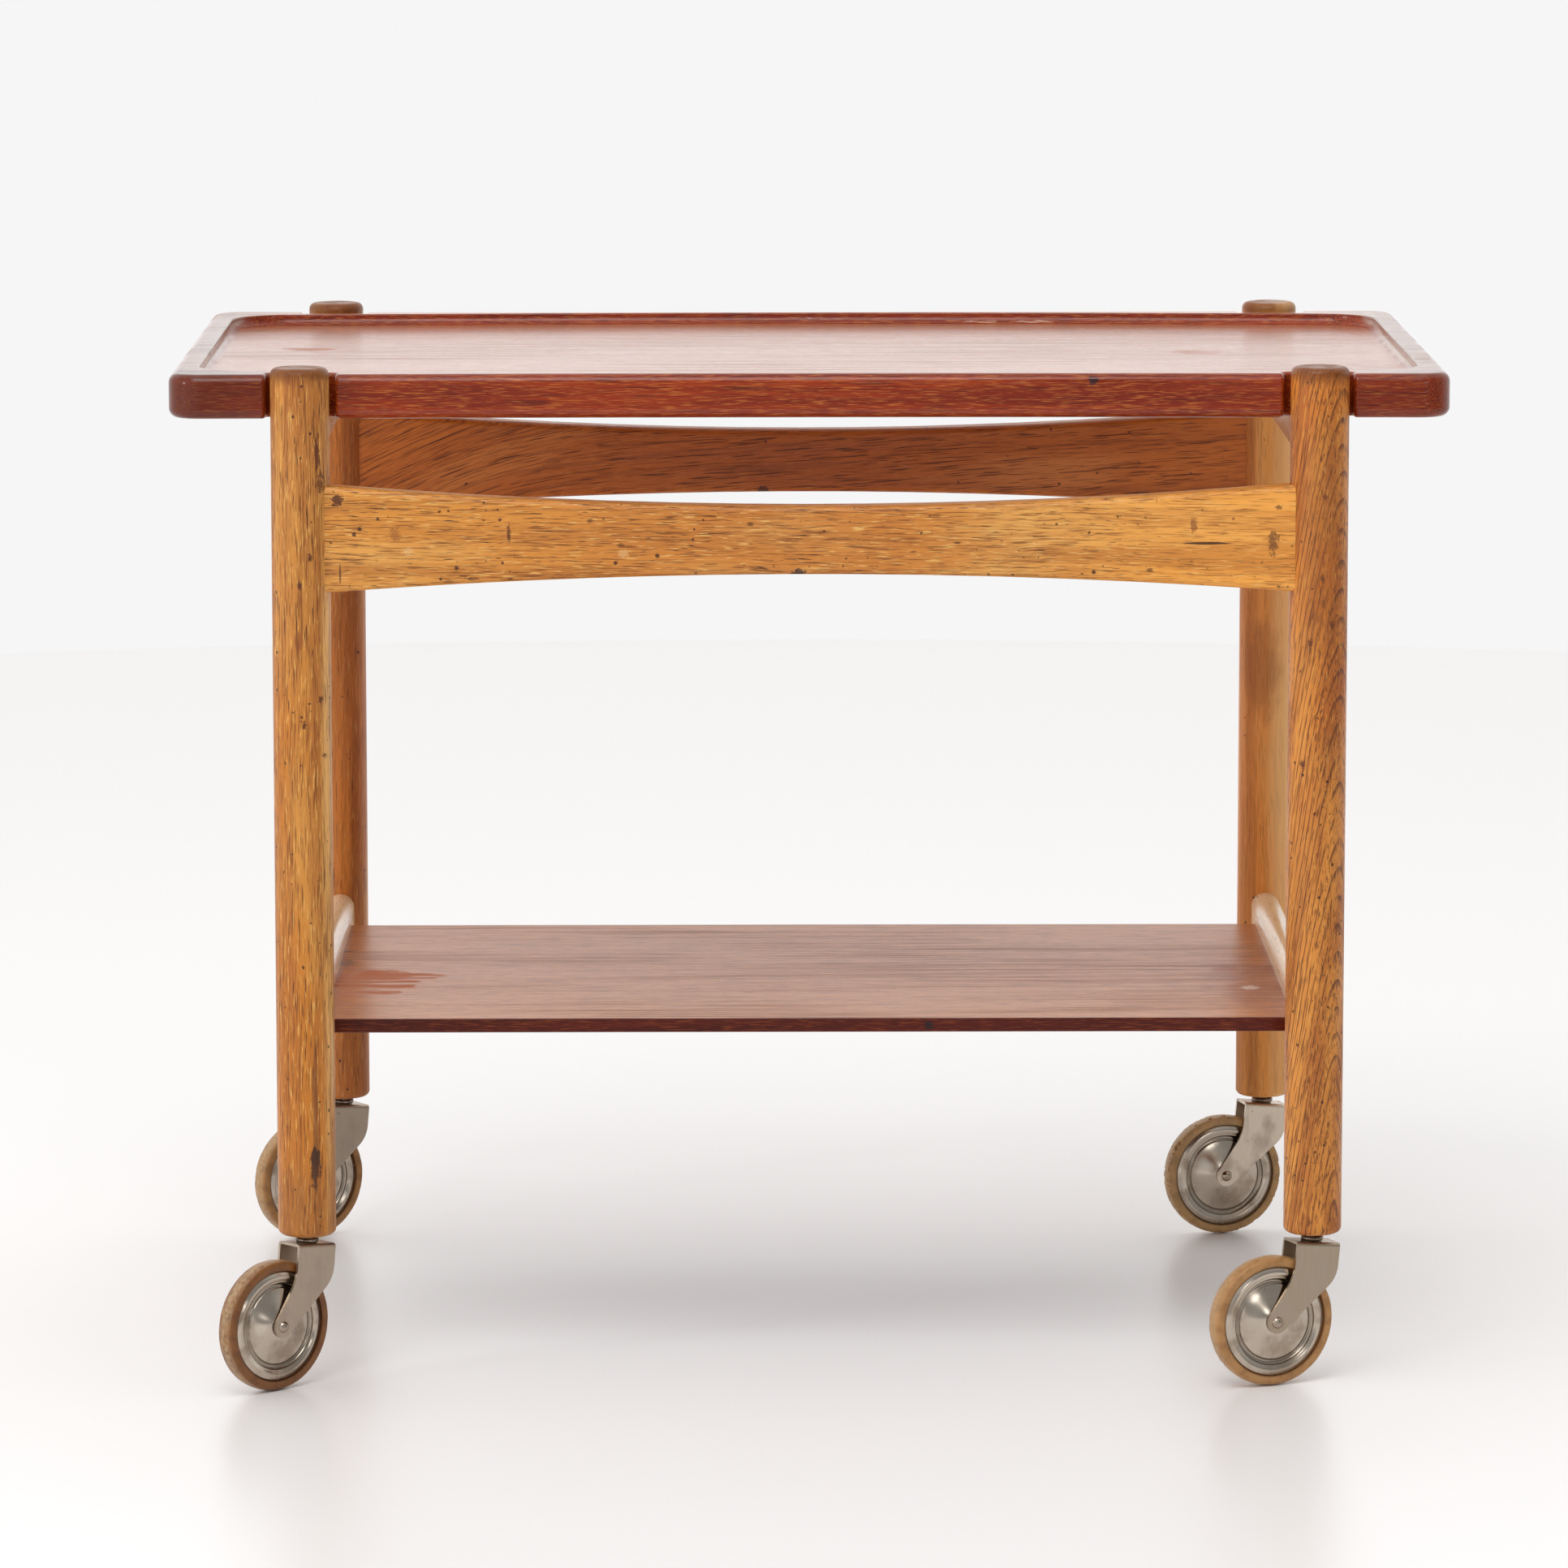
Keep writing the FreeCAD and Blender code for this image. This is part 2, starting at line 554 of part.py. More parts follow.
def fork_cheek():
    """Side of the fork, seen before it is raked: straight top, swept back to the axle's eye."""
    rake = math.radians(FORK_RAKE)
    back = math.radians(FORK_BACK_ANGLE)
    front = math.radians(FORK_FRONT_ANGLE)
    half = FORK_PLATE_LENGTH / 2
    eye_x = CASTOR_TRAIL * math.cos(rake) - FORK_RISE * math.sin(rake)
    eye_z = -FORK_RISE * math.cos(rake) - CASTOR_TRAIL * math.sin(rake)
    eye = Vec(eye_x, -FORK_HALF, eye_z)
    eye_r = AXLE_RADIUS + FORK_EYE_WALL

    def on_eye(angle):
        return eye + Vec(math.cos(angle), 0, math.sin(angle)) * eye_r

    back_angle = math.radians(270) - back
    front_angle = math.radians(450) - front
    back_tangent = on_eye(back_angle)
    front_tangent = on_eye(front_angle)
    back_knee_z = back_tangent.z + (back_tangent.x + half) * math.tan(back)
    front_knee_z = front_tangent.z + (front_tangent.x - half) * math.tan(front)
    return outline(
        Vec(-half, -FORK_HALF, 0),
        Vec(-half, -FORK_HALF, back_knee_z),
        back_tangent,
        (on_eye((back_angle + front_angle) / 2), front_tangent),
        Vec(half, -FORK_HALF, front_knee_z),
        Vec(half, -FORK_HALF, 0),
        Vec(-half, -FORK_HALF, 0),
    )


def make_fork():
    """Pressed U-shaped fork: plate, two cheeks swept back to the axle, open ends."""
    half = FORK_PLATE_LENGTH / 2

    def knee(x):
        return lambda edge: abs(edge.BoundBox.Center.x - x) < TOUCH and edge.BoundBox.ZMax < -TOUCH

    block = fork_cheek().extrude(ACROSS * FORK_HALF * 2)
    block = rounded(block, FORK_BACK_KNEE, runs(ACROSS, knee(-half)))
    block = rounded(block, FORK_FRONT_KNEE, runs(ACROSS, knee(half)))
    block = rounded(block, FORK_BEND_ROUND + FORK_SHEET, runs(ALONG, level_at(0)))
    reach = ALONG * FORK_RISE * 2
    inner = ACROSS * FORK_INNER_HALF
    gap = box(reach + inner - UP * FORK_SHEET, UP * -FORK_RISE * 2 - reach - inner)
    gap = rounded(gap, FORK_BEND_ROUND, runs(ALONG, level_at(-FORK_SHEET)))
    eye = Part.makeCylinder(AXLE_RADIUS + FIXED_GAP, FORK_HALF * 2, ACROSS * -FORK_HALF, ACROSS)
    hole = Part.makeCylinder(STEM_RADIUS + FIXED_GAP, FORK_RISE * 2, UP * AXLE_Z)
    return raked(block.cut(gap)).cut([at_wheel(eye), hole])


def make_collar():
    """Thrust collar on the stem, with a round bead where it sits on the fork's plate."""
    bore_r = STEM_RADIUS + FIXED_GAP
    neck_r = STEM_RADIUS + COLLAR_NECK_WALL
    bead_r = STEM_RADIUS + COLLAR_BEAD_WALL
    bead_z = PLATE_TOP_Z + COLLAR_BEAD_HEIGHT
    foot_z = PLATE_TOP_Z - COLLAR_HEIGHT
    top_z = LEG_FOOT_Z - END_GAP
    section = outline(
        Vec(bore_r, 0, foot_z),
        Vec(neck_r, 0, foot_z),
        Vec(neck_r, 0, PLATE_TOP_Z),
        (Vec(bead_r, 0, (PLATE_TOP_Z + bead_z) / 2), Vec(neck_r, 0, bead_z)),
        Vec(neck_r, 0, top_z),
        Vec(bore_r, 0, top_z),
        Vec(bore_r, 0, foot_z),
    )
    return turned(section, UP).cut(plate_slab(-FORK_RISE, FIXED_GAP))


def make_stem():
    """Swivel stem, riveted over under the fork's plate."""
    head_r = STEM_RADIUS + STEM_HEAD_LEDGE
    head_z = PLATE_TOP_Z - FORK_SHEET - STEM_HEAD_HEIGHT
    tip_z = LEG_FOOT_Z + STEM_LENGTH
    head = Part.makeCylinder(head_r, STEM_HEAD_HEIGHT + FORK_SHEET, UP * head_z)
    head = rounded(head, STEM_HEAD_ROUND, level_at(head_z))
    head = head.cut(plate_slab(-FORK_SHEET - FIXED_GAP, FORK_RISE))
    shank = Part.makeCylinder(STEM_RADIUS, tip_z - head_z, UP * head_z)
    shank = rounded(shank, STEM_TIP_ROUND, level_at(tip_z))
    return shank.fuse(head).removeSplitter()


def make_socket():
    """Blind steel socket driven into the foot of the leg, which the stem turns in."""
    sleeve = Part.makeCylinder(SOCKET_RADIUS, SOCKET_LENGTH, UP * LEG_FOOT_Z)
    bore = Part.makeCylinder(SOCKET_BORE_RADIUS, SOCKET_LENGTH - SOCKET_WALL, UP * LEG_FOOT_Z)
    return sleeve.cut(bore)


def make_castor():
    """Pieces of one castor about a swivel axis at the origin, trailing along +X."""
    return {
        "socket": make_socket(),
        "stem": make_stem(),
        "collar": make_collar(),
        "fork": make_fork(),
        "axle": make_axle(),
        "bush": make_bush(),
        "hub_disc_outer": make_hub_disc(1),
        "hub_disc_inner": make_hub_disc(-1),
        "tyre": make_tyre(),
    }


def placed_castor(corner):
    """Castor pieces swung as they stand and moved under their leg."""
    swing = 180 + CASTOR_SWING[corner]
    return {
        f"castor_{corner}_{piece}": shape.rotated(CENTRE, UP, swing).translated(leg_place(corner))
        for piece, shape in make_castor().items()
    }


def make_trolley():
    """Every piece of the trolley under its node's name."""
    pieces = {"tray": make_tray(), "shelf": make_shelf()}
    for face in FACES:
        pieces[f"long_rail_{face}"] = make_long_rail(face)
    for side in SIDES:
        pieces[f"upper_cross_rail_{side}"] = make_upper_rail(side)
        pieces[f"lower_cross_rail_{side}"] = make_lower_rail(side)
    for corner in CORNERS:
        pieces[f"leg_{corner}"] = make_leg(corner)
        pieces.update(placed_castor(corner))
    return pieces


os.makedirs("parts", exist_ok=True)
for node, solid in make_trolley().items():
    solid.exportStep(os.path.join("parts", f"{node}.step"))
    print(f"{node}: solids {len(solid.Solids)}, valid {solid.isValid()}, {solid.Volume / 1000:.2f} cm3")
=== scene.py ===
"""Look of a serving trolley: oiled teak, worn oak and old castors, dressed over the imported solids."""

import json
import logging
import math
from dataclasses import dataclass
from enum import Enum
from typing import Any, Iterable, Optional, Union

import bmesh
import bpy
from mathutils import Matrix, Vector, noise


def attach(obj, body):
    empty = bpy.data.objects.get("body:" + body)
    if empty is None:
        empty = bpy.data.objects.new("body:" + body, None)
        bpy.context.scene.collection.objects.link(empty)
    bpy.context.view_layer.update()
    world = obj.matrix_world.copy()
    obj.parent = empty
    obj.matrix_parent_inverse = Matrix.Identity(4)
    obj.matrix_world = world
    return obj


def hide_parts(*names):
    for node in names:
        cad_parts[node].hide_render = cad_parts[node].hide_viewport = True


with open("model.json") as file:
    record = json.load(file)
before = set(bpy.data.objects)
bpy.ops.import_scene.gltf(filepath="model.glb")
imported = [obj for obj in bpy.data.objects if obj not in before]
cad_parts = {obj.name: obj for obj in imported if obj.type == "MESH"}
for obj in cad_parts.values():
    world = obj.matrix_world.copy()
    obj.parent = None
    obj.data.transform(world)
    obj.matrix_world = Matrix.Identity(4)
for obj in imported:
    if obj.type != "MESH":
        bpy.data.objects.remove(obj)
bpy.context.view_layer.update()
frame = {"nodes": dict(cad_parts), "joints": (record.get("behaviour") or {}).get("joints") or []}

LOG = logging.getLogger("trolley")
Triple = tuple[float, float, float]
Pair = tuple[float, float]
Colour = tuple[float, float, float, float]
Socket = bpy.types.NodeSocket
Outputs = bpy.types.NodeOutputs
Tree = bpy.types.NodeTree
Inputs = dict[Union[str, int], Any]

MM = 0.001
PHOTO_PIXELS = 1932
SENSOR_MM = 36.0
SHARP_ANGLE = math.radians(32.0)  # faces that meet at more than this keep a hard edge
# Numbers of a Mix node's sockets, for plain values and for colours
MIX_FIRST, MIX_SECOND = 2, 3
MIX_GROUND, MIX_COAT, MIX_RESULT = 6, 7, 2
RING_FACTOR = 20.0  # the ring texture multiplies its radius by this
RING_WAVES = {"Distortion": 0.8, "Detail Scale": 0.2}  # how the growth lines waver
SPOT_SHAKE = 1.2  # how far a spot's outline strays, as a share of its radius
SPOT_EDGE = 0.4  # how wide its edge fades, as a share of its radius
MARK_EDGE = {"Scale": 1.9, "Detail": 4.0}  # waves along the edge of a mark
SCUFF_DEPTH = 8.0  # how deep a scuff reaches into an upright face, in millimetres
LEG_X, LEG_Y = 325.0, 240.0  # from the trolley's middle to the middle of each leg, in millimetres
SHELTERED = {"specks": 0.1, "flecks": 0.25}  # oak that hands and knocks hardly reach


def linear(code: str) -> Colour:
    """Turn an sRGB hex colour to linear light.

    Args:
        code: colour such as "#d08d4a".

    Returns:
        Linear red, green and blue, and an alpha of 1.
    """
    channels = [int(code[place:place + 2], 16) / 255 for place in (1, 3, 5)]
    red, green, blue = [
        level / 12.92 if level <= 0.04045 else ((level + 0.055) / 1.055) ** 2.4 for level in channels
    ]
    return red, green, blue, 1.0


def add_node(tree: Tree, kind: str, inputs: Optional[Inputs] = None, **settings: Any) -> Outputs:
    """Add a node with its settings and links.

    Args:
        tree: takes the node.
        kind: Blender's name for the node's type, without the "ShaderNode" that it starts with.
        inputs: a value, or the output socket to link, for each input by its name or number.
        settings: the node's own options.

    Returns:
        The new node's outputs.
    """
    node = tree.nodes.new(f"ShaderNode{kind}")
    for name, value in settings.items():
        setattr(node, name, value)
    for key, value in (inputs or {}).items():
        if isinstance(value, Socket):
            tree.links.new(value, node.inputs[key])
        else:
            node.inputs[key].default_value = value
    return node.outputs


def place_mm(tree: Tree) -> Socket:
    """Place on the standing trolley in millimetres, which travels with the piece when it moves."""
    metres = add_node(tree, "TexCoord")["Object"]
    return add_node(tree, "VectorMath", {0: metres, 1: (1 / MM,) * 3}, operation="MULTIPLY")[0]


def ramp(tree: Tree, value: Socket, start: float, full: float, low: float = 0.0, high: float = 1.0) -> Socket:
    """Smooth step of a value between two levels.

    Args:
        tree: takes the node.
        value: the value.
        start: the value at which the result is low.
        full: the value at which the result is high.
        low: the result at the start.
        high: the result where it is full.

    Returns:
        The stepped value.
    """
    limits = {"Value": value, "From Min": start, "From Max": full, "To Min": low, "To Max": high}
    return add_node(tree, "MapRange", limits, interpolation_type="SMOOTHSTEP")[0]


def both(tree: Tree, first: Socket, second: Socket) -> Socket:
    """Mask that is on where both masks are on."""
    return add_node(tree, "Math", {0: first, 1: second}, operation="MULTIPLY")[0]


def most(tree: Tree, masks: Iterable[Socket]) -> Socket:
    """Mask that is on where any of the masks is on.

    Args:
        tree: takes the nodes.
        masks: the masks.

    Returns:
        The strongest of them at each place.
    """
    top, *others = masks
    for mask in others:
        top = add_node(tree, "Math", {0: top, 1: mask}, operation="MAXIMUM")[0]
    return top


def streaks(tree: Tree, place: Socket, size: Triple, levels: Pair, strength: float, detail: float) -> Socket:
    """Mask of cloudy patches, or of thin dashes where one size is much longer than the others.

    Args:
        tree: takes the nodes.
        place: place in millimetres.
        size: about how far a patch reaches along each axis, in millimetres.
        levels: noise levels where a patch starts and where it is full.
        strength: the mask's value where it is full.
        detail: how ragged the patches are.

    Returns:
        The mask, from 0 to strength.
    """
    spread = tuple(1 / (2 * length) for length in size)
    scaled = add_node(tree, "VectorMath", {0: place, 1: spread}, operation="MULTIPLY")[0]
    cloud = add_node(tree, "TexNoise", {"Vector": scaled, "Scale": 1.0, "Detail": detail})[0]
    return ramp(tree, cloud, *levels, high=strength)


def spots(tree: Tree, place: Socket, spacing: float, radius: float, share: float, strength: float) -> Socket:
    """Mask of scattered ragged spots of different sizes.

    Args:
        tree: takes the nodes.
        place: place in millimetres.
        spacing: about how far apart the spots could be, in millimetres.
        radius: the largest spot's radius, in millimetres.
        share: how many of the possible spots are there, from 0 to 1.
        strength: the mask's value inside a spot.

    Returns:
        The mask, from 0 to strength.
    """
    shake = add_node(tree, "TexNoise", {"Vector": place, "Scale": 1 / radius, "Detail": 2.0})["Color"]
    inputs = {0: shake, 1: (radius * SPOT_SHAKE,) * 3, 2: place}
    ragged = add_node(tree, "VectorMath", inputs, operation="MULTIPLY_ADD")[0]
    cells = add_node(tree, "TexVoronoi", {"Vector": ragged, "Scale": 1 / spacing})
    chance = add_node(tree, "SeparateColor", {0: cells["Color"]})[0]
    largest = radius / spacing
    sizes = {"Value": chance, "From Min": 1 - share, "From Max": 1.0, "To Max": largest}
    reach = add_node(tree, "MapRange", sizes)[0]
    inside = add_node(tree, "Math", {0: reach, 1: cells["Distance"]}, operation="SUBTRACT")[0]
    return ramp(tree, inside, 0.0, largest * SPOT_EDGE, high=strength)


def paint(tree: Tree, ground: str, coats: Iterable[tuple[str, Socket]]) -> Socket:
    """Lay colours over a ground one after another, each through its mask.

    Args:
        tree: takes the nodes.
        ground: hex colour under all the coats.
        coats: each coat's hex colour and mask, the lowest first.

    Returns:
        The painted colour.
    """
    colour = linear(ground)
    for code, mask in coats:
        inputs = {0: mask, MIX_GROUND: colour, MIX_COAT: linear(code)}
        colour = add_node(tree, "Mix", inputs, data_type="RGBA")[MIX_RESULT]
    return colour


def relief(tree: Tree, dents: Iterable[Socket], depth: float) -> Socket:
    """Surface normal that sinks by a depth in millimetres where any of the masks is on."""
    inputs = {"Strength": 1.0, "Distance": depth * MM, "Height": most(tree, dents)}
    return add_node(tree, "Bump", inputs, invert=True)[0]


@dataclass(frozen=True)
class Mark:
    """A stain, bruise or scuff at one place on a piece, in millimetres."""

    place: Triple
    reach: Triple
    colour: str
    strength: float
    ragged: float = 1.5
    soft: float = 0.25  # how wide its edge fades, as a share of its reach

    def mask(self, tree: Tree, place: Socket) -> Socket:
        """Find how much of the mark covers a place.

        Args:
            tree: takes the nodes.
            place: place in millimetres.

        Returns:
            The mask, from 0 to the mark's strength.
        """
        away = add_node(tree, "VectorMath", {0: place, 1: self.place}, operation="SUBTRACT")[0]
        inverse = tuple(1 / reach for reach in self.reach)
        share = add_node(tree, "VectorMath", {0: away, 1: inverse}, operation="MULTIPLY")[0]
        length = add_node(tree, "VectorMath", {0: share}, operation="LENGTH")["Value"]
        # The mark's own place goes in, so that no two marks have the same outline
        own = add_node(tree, "VectorMath", {0: share, 1: self.place}, operation="ADD")[0]
        edge = add_node(tree, "TexNoise", {"Vector": own, **MARK_EDGE})[0]
        inputs = {0: edge, 1: self.ragged * 2, 2: length}
        wander = add_node(tree, "Math", inputs, operation="MULTIPLY_ADD")[0]
        middle = 1 + self.ragged
        return ramp(tree, wander, middle + self.soft, middle - self.soft, high=self.strength)


def scuffs(face: float, places: Iterable[Pair], size: Pair, colour: str, strength: float) -> list[Mark]:
    """Marks of one kind on an upright face at one Y, by the X and Z of their middles and reaches."""
    wide, tall = size
    return [Mark((x, face, z), (wide, SCUFF_DEPTH, tall), colour, strength) for x, z in places]


class Grain(Enum):
    """Axis of the trolley that a piece's grain follows, as the turn in degrees that brings local Z there."""

    ALONG = (0.0, 90.0, 0.0)
    ACROSS = (-90.0, 0.0, 0.0)
    UP = (0.0, 0.0, 0.0)


@dataclass(frozen=True)
class Timber:
    """How one piece was sawn: the way its grain runs and where the middle of its log was."""

    grain: Grain
    pith: Triple  # a place on the middle line of the log, in millimetres
    lean: Triple = (0.0, 0.0, 0.0)  # degrees that the grain leans from the axis
    wander: float = 2.0  # how far the grain wanders to the sides, in millimetres
    calm: Pair = (34.0, 130.0)  # how far a bend of the grain reaches, across it and along it
    bow: Optional[Pair] = None  # the X to the left of which the grain bows down, and the bow's radius

    def bowed(self, tree: Tree, standing: Socket) -> Socket:
        """Straighten the bow in the grain near the left end of a piece.

        Args:
            tree: takes the nodes.
            standing: place on the trolley in millimetres.

        Returns:
            The place that it would have if the grain ran straight.
        """
        if self.bow is None:
            return standing
        start, radius = self.bow
        along = add_node(tree, "SeparateXYZ", {0: standing})["X"]
        past = add_node(tree, "Math", {0: along, 1: start}, operation="SUBTRACT")[0]
        left = add_node(tree, "Math", {0: past, 1: 0.0}, operation="MINIMUM")[0]
        rise = add_node(tree, "CombineXYZ", {"Z": both(tree, left, left)})[0]
        inputs = {0: rise, 1: (0.0, 0.0, 1 / (2 * radius)), 2: standing}
        return add_node(tree, "VectorMath", inputs, operation="MULTIPLY_ADD")[0]

    def place(self, tree: Tree) -> Socket:
        """Place in the log in millimetres, with local Z along the grain.

        Args:
            tree: takes the nodes.

        Returns:
            The place.
        """
        turn = tuple(math.radians(base + lean) for base, lean in zip(self.grain.value, self.lean))
        inputs = {"Vector": self.bowed(tree, place_mm(tree)), "Location": self.pith, "Rotation": turn}
        sawn = add_node(tree, "Mapping", inputs, vector_type="TEXTURE")[0]
        across, along = self.calm
        spread = (1 / across, 1 / across, 1 / along)
        scaled = add_node(tree, "VectorMath", {0: sawn, 1: spread}, operation="MULTIPLY")[0]
        drift = add_node(tree, "TexNoise", {"Vector": scaled, "Scale": 1.0, "Detail": 2.0})["Color"]
        inputs = {0: drift, 1: (self.wander * 2, self.wander * 2, 0.0), 2: sawn}
        return add_node(tree, "VectorMath", inputs, operation="MULTIPLY_ADD")[0]


@dataclass(frozen=True)
class Finish:
    """A surface that becomes one material."""

    name: str

    def surface(self, tree: Tree) -> Inputs:
        """Values and links of the surface shader, which each kind of finish lays out."""
        raise NotImplementedError

    def material(self) -> bpy.types.Material:
        """Make the material.

        Returns:
            The material.
        """
        material = bpy.data.materials.new(self.name)
        material.use_nodes = True
        tree = material.node_tree
        tree.nodes.clear()
        shader = add_node(tree, "BsdfPrincipled", self.surface(tree))[0]
        add_node(tree, "OutputMaterial", {"Surface": shader})
        return material


@dataclass(frozen=True)
class WornOak(Finish):
    """Oak, planed or turned, oiled and worn for decades.

    The eye sees honey-coloured wood with fine dark pores drawn out along the grain, pale flecks where
    rays are cut, faint growth lines, and ink-dark specks and bruises. It shines softly.
    """

    timber: Timber
    ground: str = "#e09640"
    band: str = "#b56d2a"
    pale: str = "#eab668"
    pore: str = "#743c12"
    ink: str = "#351409"
    bands: float = 0.75  # how strong the broad bands are
    pores: float = 0.75  # how strong the fine pores are
    ring: float = 3.2  # from one growth line to the next, in millimetres
    late: Pair = (0.66, 0.95)  # where in a ring its growth line starts and is full
    lines: float = 0.25  # how strong the growth lines are
    dashes: float = 0.8  # how strong the open dark pores are
    dash: Pair = (0.5, 11.0)  # width and length of the open dark pores, in millimetres
    gaps: Pair = (0.665, 0.71)  # noise levels of the open dark pores: higher leaves fewer
    flecks: float = 0.8  # how strong the pale rays are
    specks: float = 0.35  # share of the possible ink specks that are there
    depth: float = 0.1  # depth of the pores and specks, in millimetres
    roughness: Pair = (0.34, 0.48)  # in plain wood and in the broad bands
    density: float = 1.42  # its index of refraction
    tints_and_painted_light: tuple[Mark, ...] = ()  # broad changes of colour under the grain: tints of the wood, and painted light and shade
    marks: tuple[Mark, ...] = ()

    def surface(self, tree: Tree) -> Inputs:
        """Draw the grain, the specks and the marks.

        Args:
            tree: takes the nodes.

        Returns:
            The surface shader's inputs.
        """
        place = self.timber.place(tree)
        standing = place_mm(tree)
        waves = {"Vector": place, "Scale": math.tau / (RING_FACTOR * self.ring), **RING_WAVES}
        rings = add_node(
            tree, "TexWave", waves, wave_type="RINGS", rings_direction="Z", wave_profile="SAW"
        )["Fac"]
        broken = streaks(tree, place, (3.0, 3.0, 30.0), (0.32, 0.52), self.lines, 2.0)
        growth = both(tree, ramp(tree, rings, *self.late), broken)
        broad = streaks(tree, place, (6.0, 6.0, 110.0), (0.36, 0.68), self.bands, 3.0)
        cloudy = streaks(tree, place, (26.0, 26.0, 90.0), (0.42, 0.66), 0.45, 2.0)
        # Pores are 0.3 mm wide in the real wood, drawn wider so that they show
        fine = streaks(tree, place, (0.42, 0.42, 10.0), (0.52, 0.68), self.pores, 2.0)
        wide, long = self.dash
        open_pores = streaks(tree, place, (wide, wide, long), self.gaps, self.dashes, 1.0)
        rays = streaks(tree, place, (0.5, 0.8, 6.0), (0.57, 0.68), self.flecks, 2.0)
        specks = spots(tree, place, 5.5, 1.4, self.specks, 0.85)
        # Tints, painted light and painted shade go first, under the grain
        coats = [(tint.colour, tint.mask(tree, standing)) for tint in self.tints_and_painted_light]
        coats += [(self.pale, cloudy), (self.band, broad), (self.pore, growth), (self.pale, rays)]
        coats += [(self.pore, fine), (self.ink, open_pores), (self.ink, specks)]
        coats += [(mark.colour, mark.mask(tree, standing)) for mark in self.marks]
        return {
            "Base Color": paint(tree, self.ground, coats),
            "Roughness": ramp(tree, broad, 0.0, self.bands, *self.roughness),
            "IOR": self.density,
            "Normal": relief(tree, (fine, open_pores, specks), self.depth),
        }


@dataclass(frozen=True)
class OiledTeak(Finish):
    """Teak, planed and shaped, oiled and waxed.

    The eye sees deep orange-red wood with fine straight streaks, golden where the pores catch light.
    Its upper faces are drier and paler from use, and mirror a pale wall at low angles; part of their pale
    colour is painted sheen. Spilt oil leaves dull red stains.
    """

    timber: Timber
    # colour of the upward faces: dry worn teak, with painted sheen
    dry_and_sheen: str
    grey: str
    weather: Pair  # width and length of the greyed streaks, in millimetres
    wax: float  # how much of it has a coat of wax
    density: float  # its index of refraction
    stains: tuple[Mark, ...]
    marks: tuple[Mark, ...]
    ground: str = "#983411"
    band: str = "#74200b"
    streak: str = "#c6702f"
    line: str = "#4a150a"
    clouds: float = 0.55  # how strong the darker clouds are
    level: Pair = (0.97, 0.998)  # upward share of the normal where a face starts to be a top, and is one
    dry_and_sheen_strength: float = 0.75  # how strongly the tops take their pale colour of dry wear and painted sheen
    greyness: float = 0.6  # how grey a streak is where it is roughest
    roughness: Pair = (0.24, 0.36)
    dry_roughness: Pair = (0.16, 0.3)
    oil_roughness: Pair = (0.85, 0.7)
    wax_roughness: float = 0.15
    depth: float = 0.03  # depth of the pores, in millimetres

    def surface(self, tree: Tree) -> Inputs:
        """Draw the grain, the dry tops, the stains and the marks.

        Args:
            tree: takes the nodes.

        Returns:
            The surface shader's inputs.
        """
        place = self.timber.place(tree)
        standing = place_mm(tree)
        broad = streaks(tree, place, (3.5, 3.5, 130.0), (0.36, 0.68), 0.8, 3.0)
        cloudy = streaks(tree, place, (18.0, 18.0, 70.0), (0.40, 0.68), self.clouds, 2.0)
        # Pores are 0.2 mm wide in the real wood, drawn wider so that they show
        golden = streaks(tree, place, (0.28, 0.28, 6.0), (0.51, 0.66), 0.65, 2.0)
        dark = streaks(tree, place, (0.45, 0.45, 16.0), (0.56, 0.70), 0.65, 1.0)
        upward = add_node(tree, "SeparateXYZ", {0: add_node(tree, "TexCoord")["Normal"]})["Z"]
        # Upward faces are painted paler: partly dry wear, partly painted sheen
        top = ramp(tree, upward, *self.level, high=self.dry_and_sheen_strength)
        wide, long = self.weather
        greyed = streaks(tree, place, (wide, wide, long), (0.36, 0.70), 0.8, 3.0)
        patchy = streaks(tree, place, (30.0, 30.0, 140.0), (0.28, 0.66), 1.0, 3.0)
        weathered = both(tree, both(tree, greyed, patchy), top)
        soaked = streaks(tree, place, (4.0, 4.0, 30.0), (0.32, 0.52), 1.0, 3.0)
        spilt = [both(tree, stain.mask(tree, standing), soaked) for stain in self.stains]
        coats = [(self.band, broad), (self.band, cloudy), (self.dry_and_sheen, top), (self.grey, weathered)]
        coats += [(self.streak, golden), (self.line, dark)]
        coats += [(stain.colour, mask) for stain, mask in zip(self.stains, spilt)]
        coats += [(mark.colour, mark.mask(tree, standing)) for mark in self.marks]
        side_gloss = ramp(tree, cloudy, 0.0, self.clouds, *self.roughness)
        top_gloss = ramp(tree, weathered, 0.0, self.greyness, *self.dry_roughness)
        gloss = add_node(tree, "Mix", {0: top, MIX_FIRST: side_gloss, MIX_SECOND: top_gloss})[0]
        dull = both(tree, most(tree, spilt), ramp(tree, cloudy, 0.0, self.clouds, *self.oil_roughness))
        return {
            "Base Color": paint(tree, self.ground, coats),
            "Roughness": most(tree, (gloss, dull)),
            "IOR": self.density,
            "Coat Weight": self.wax,
            "Coat Roughness": self.wax_roughness,
            "Normal": relief(tree, (golden, dark), self.depth),
        }


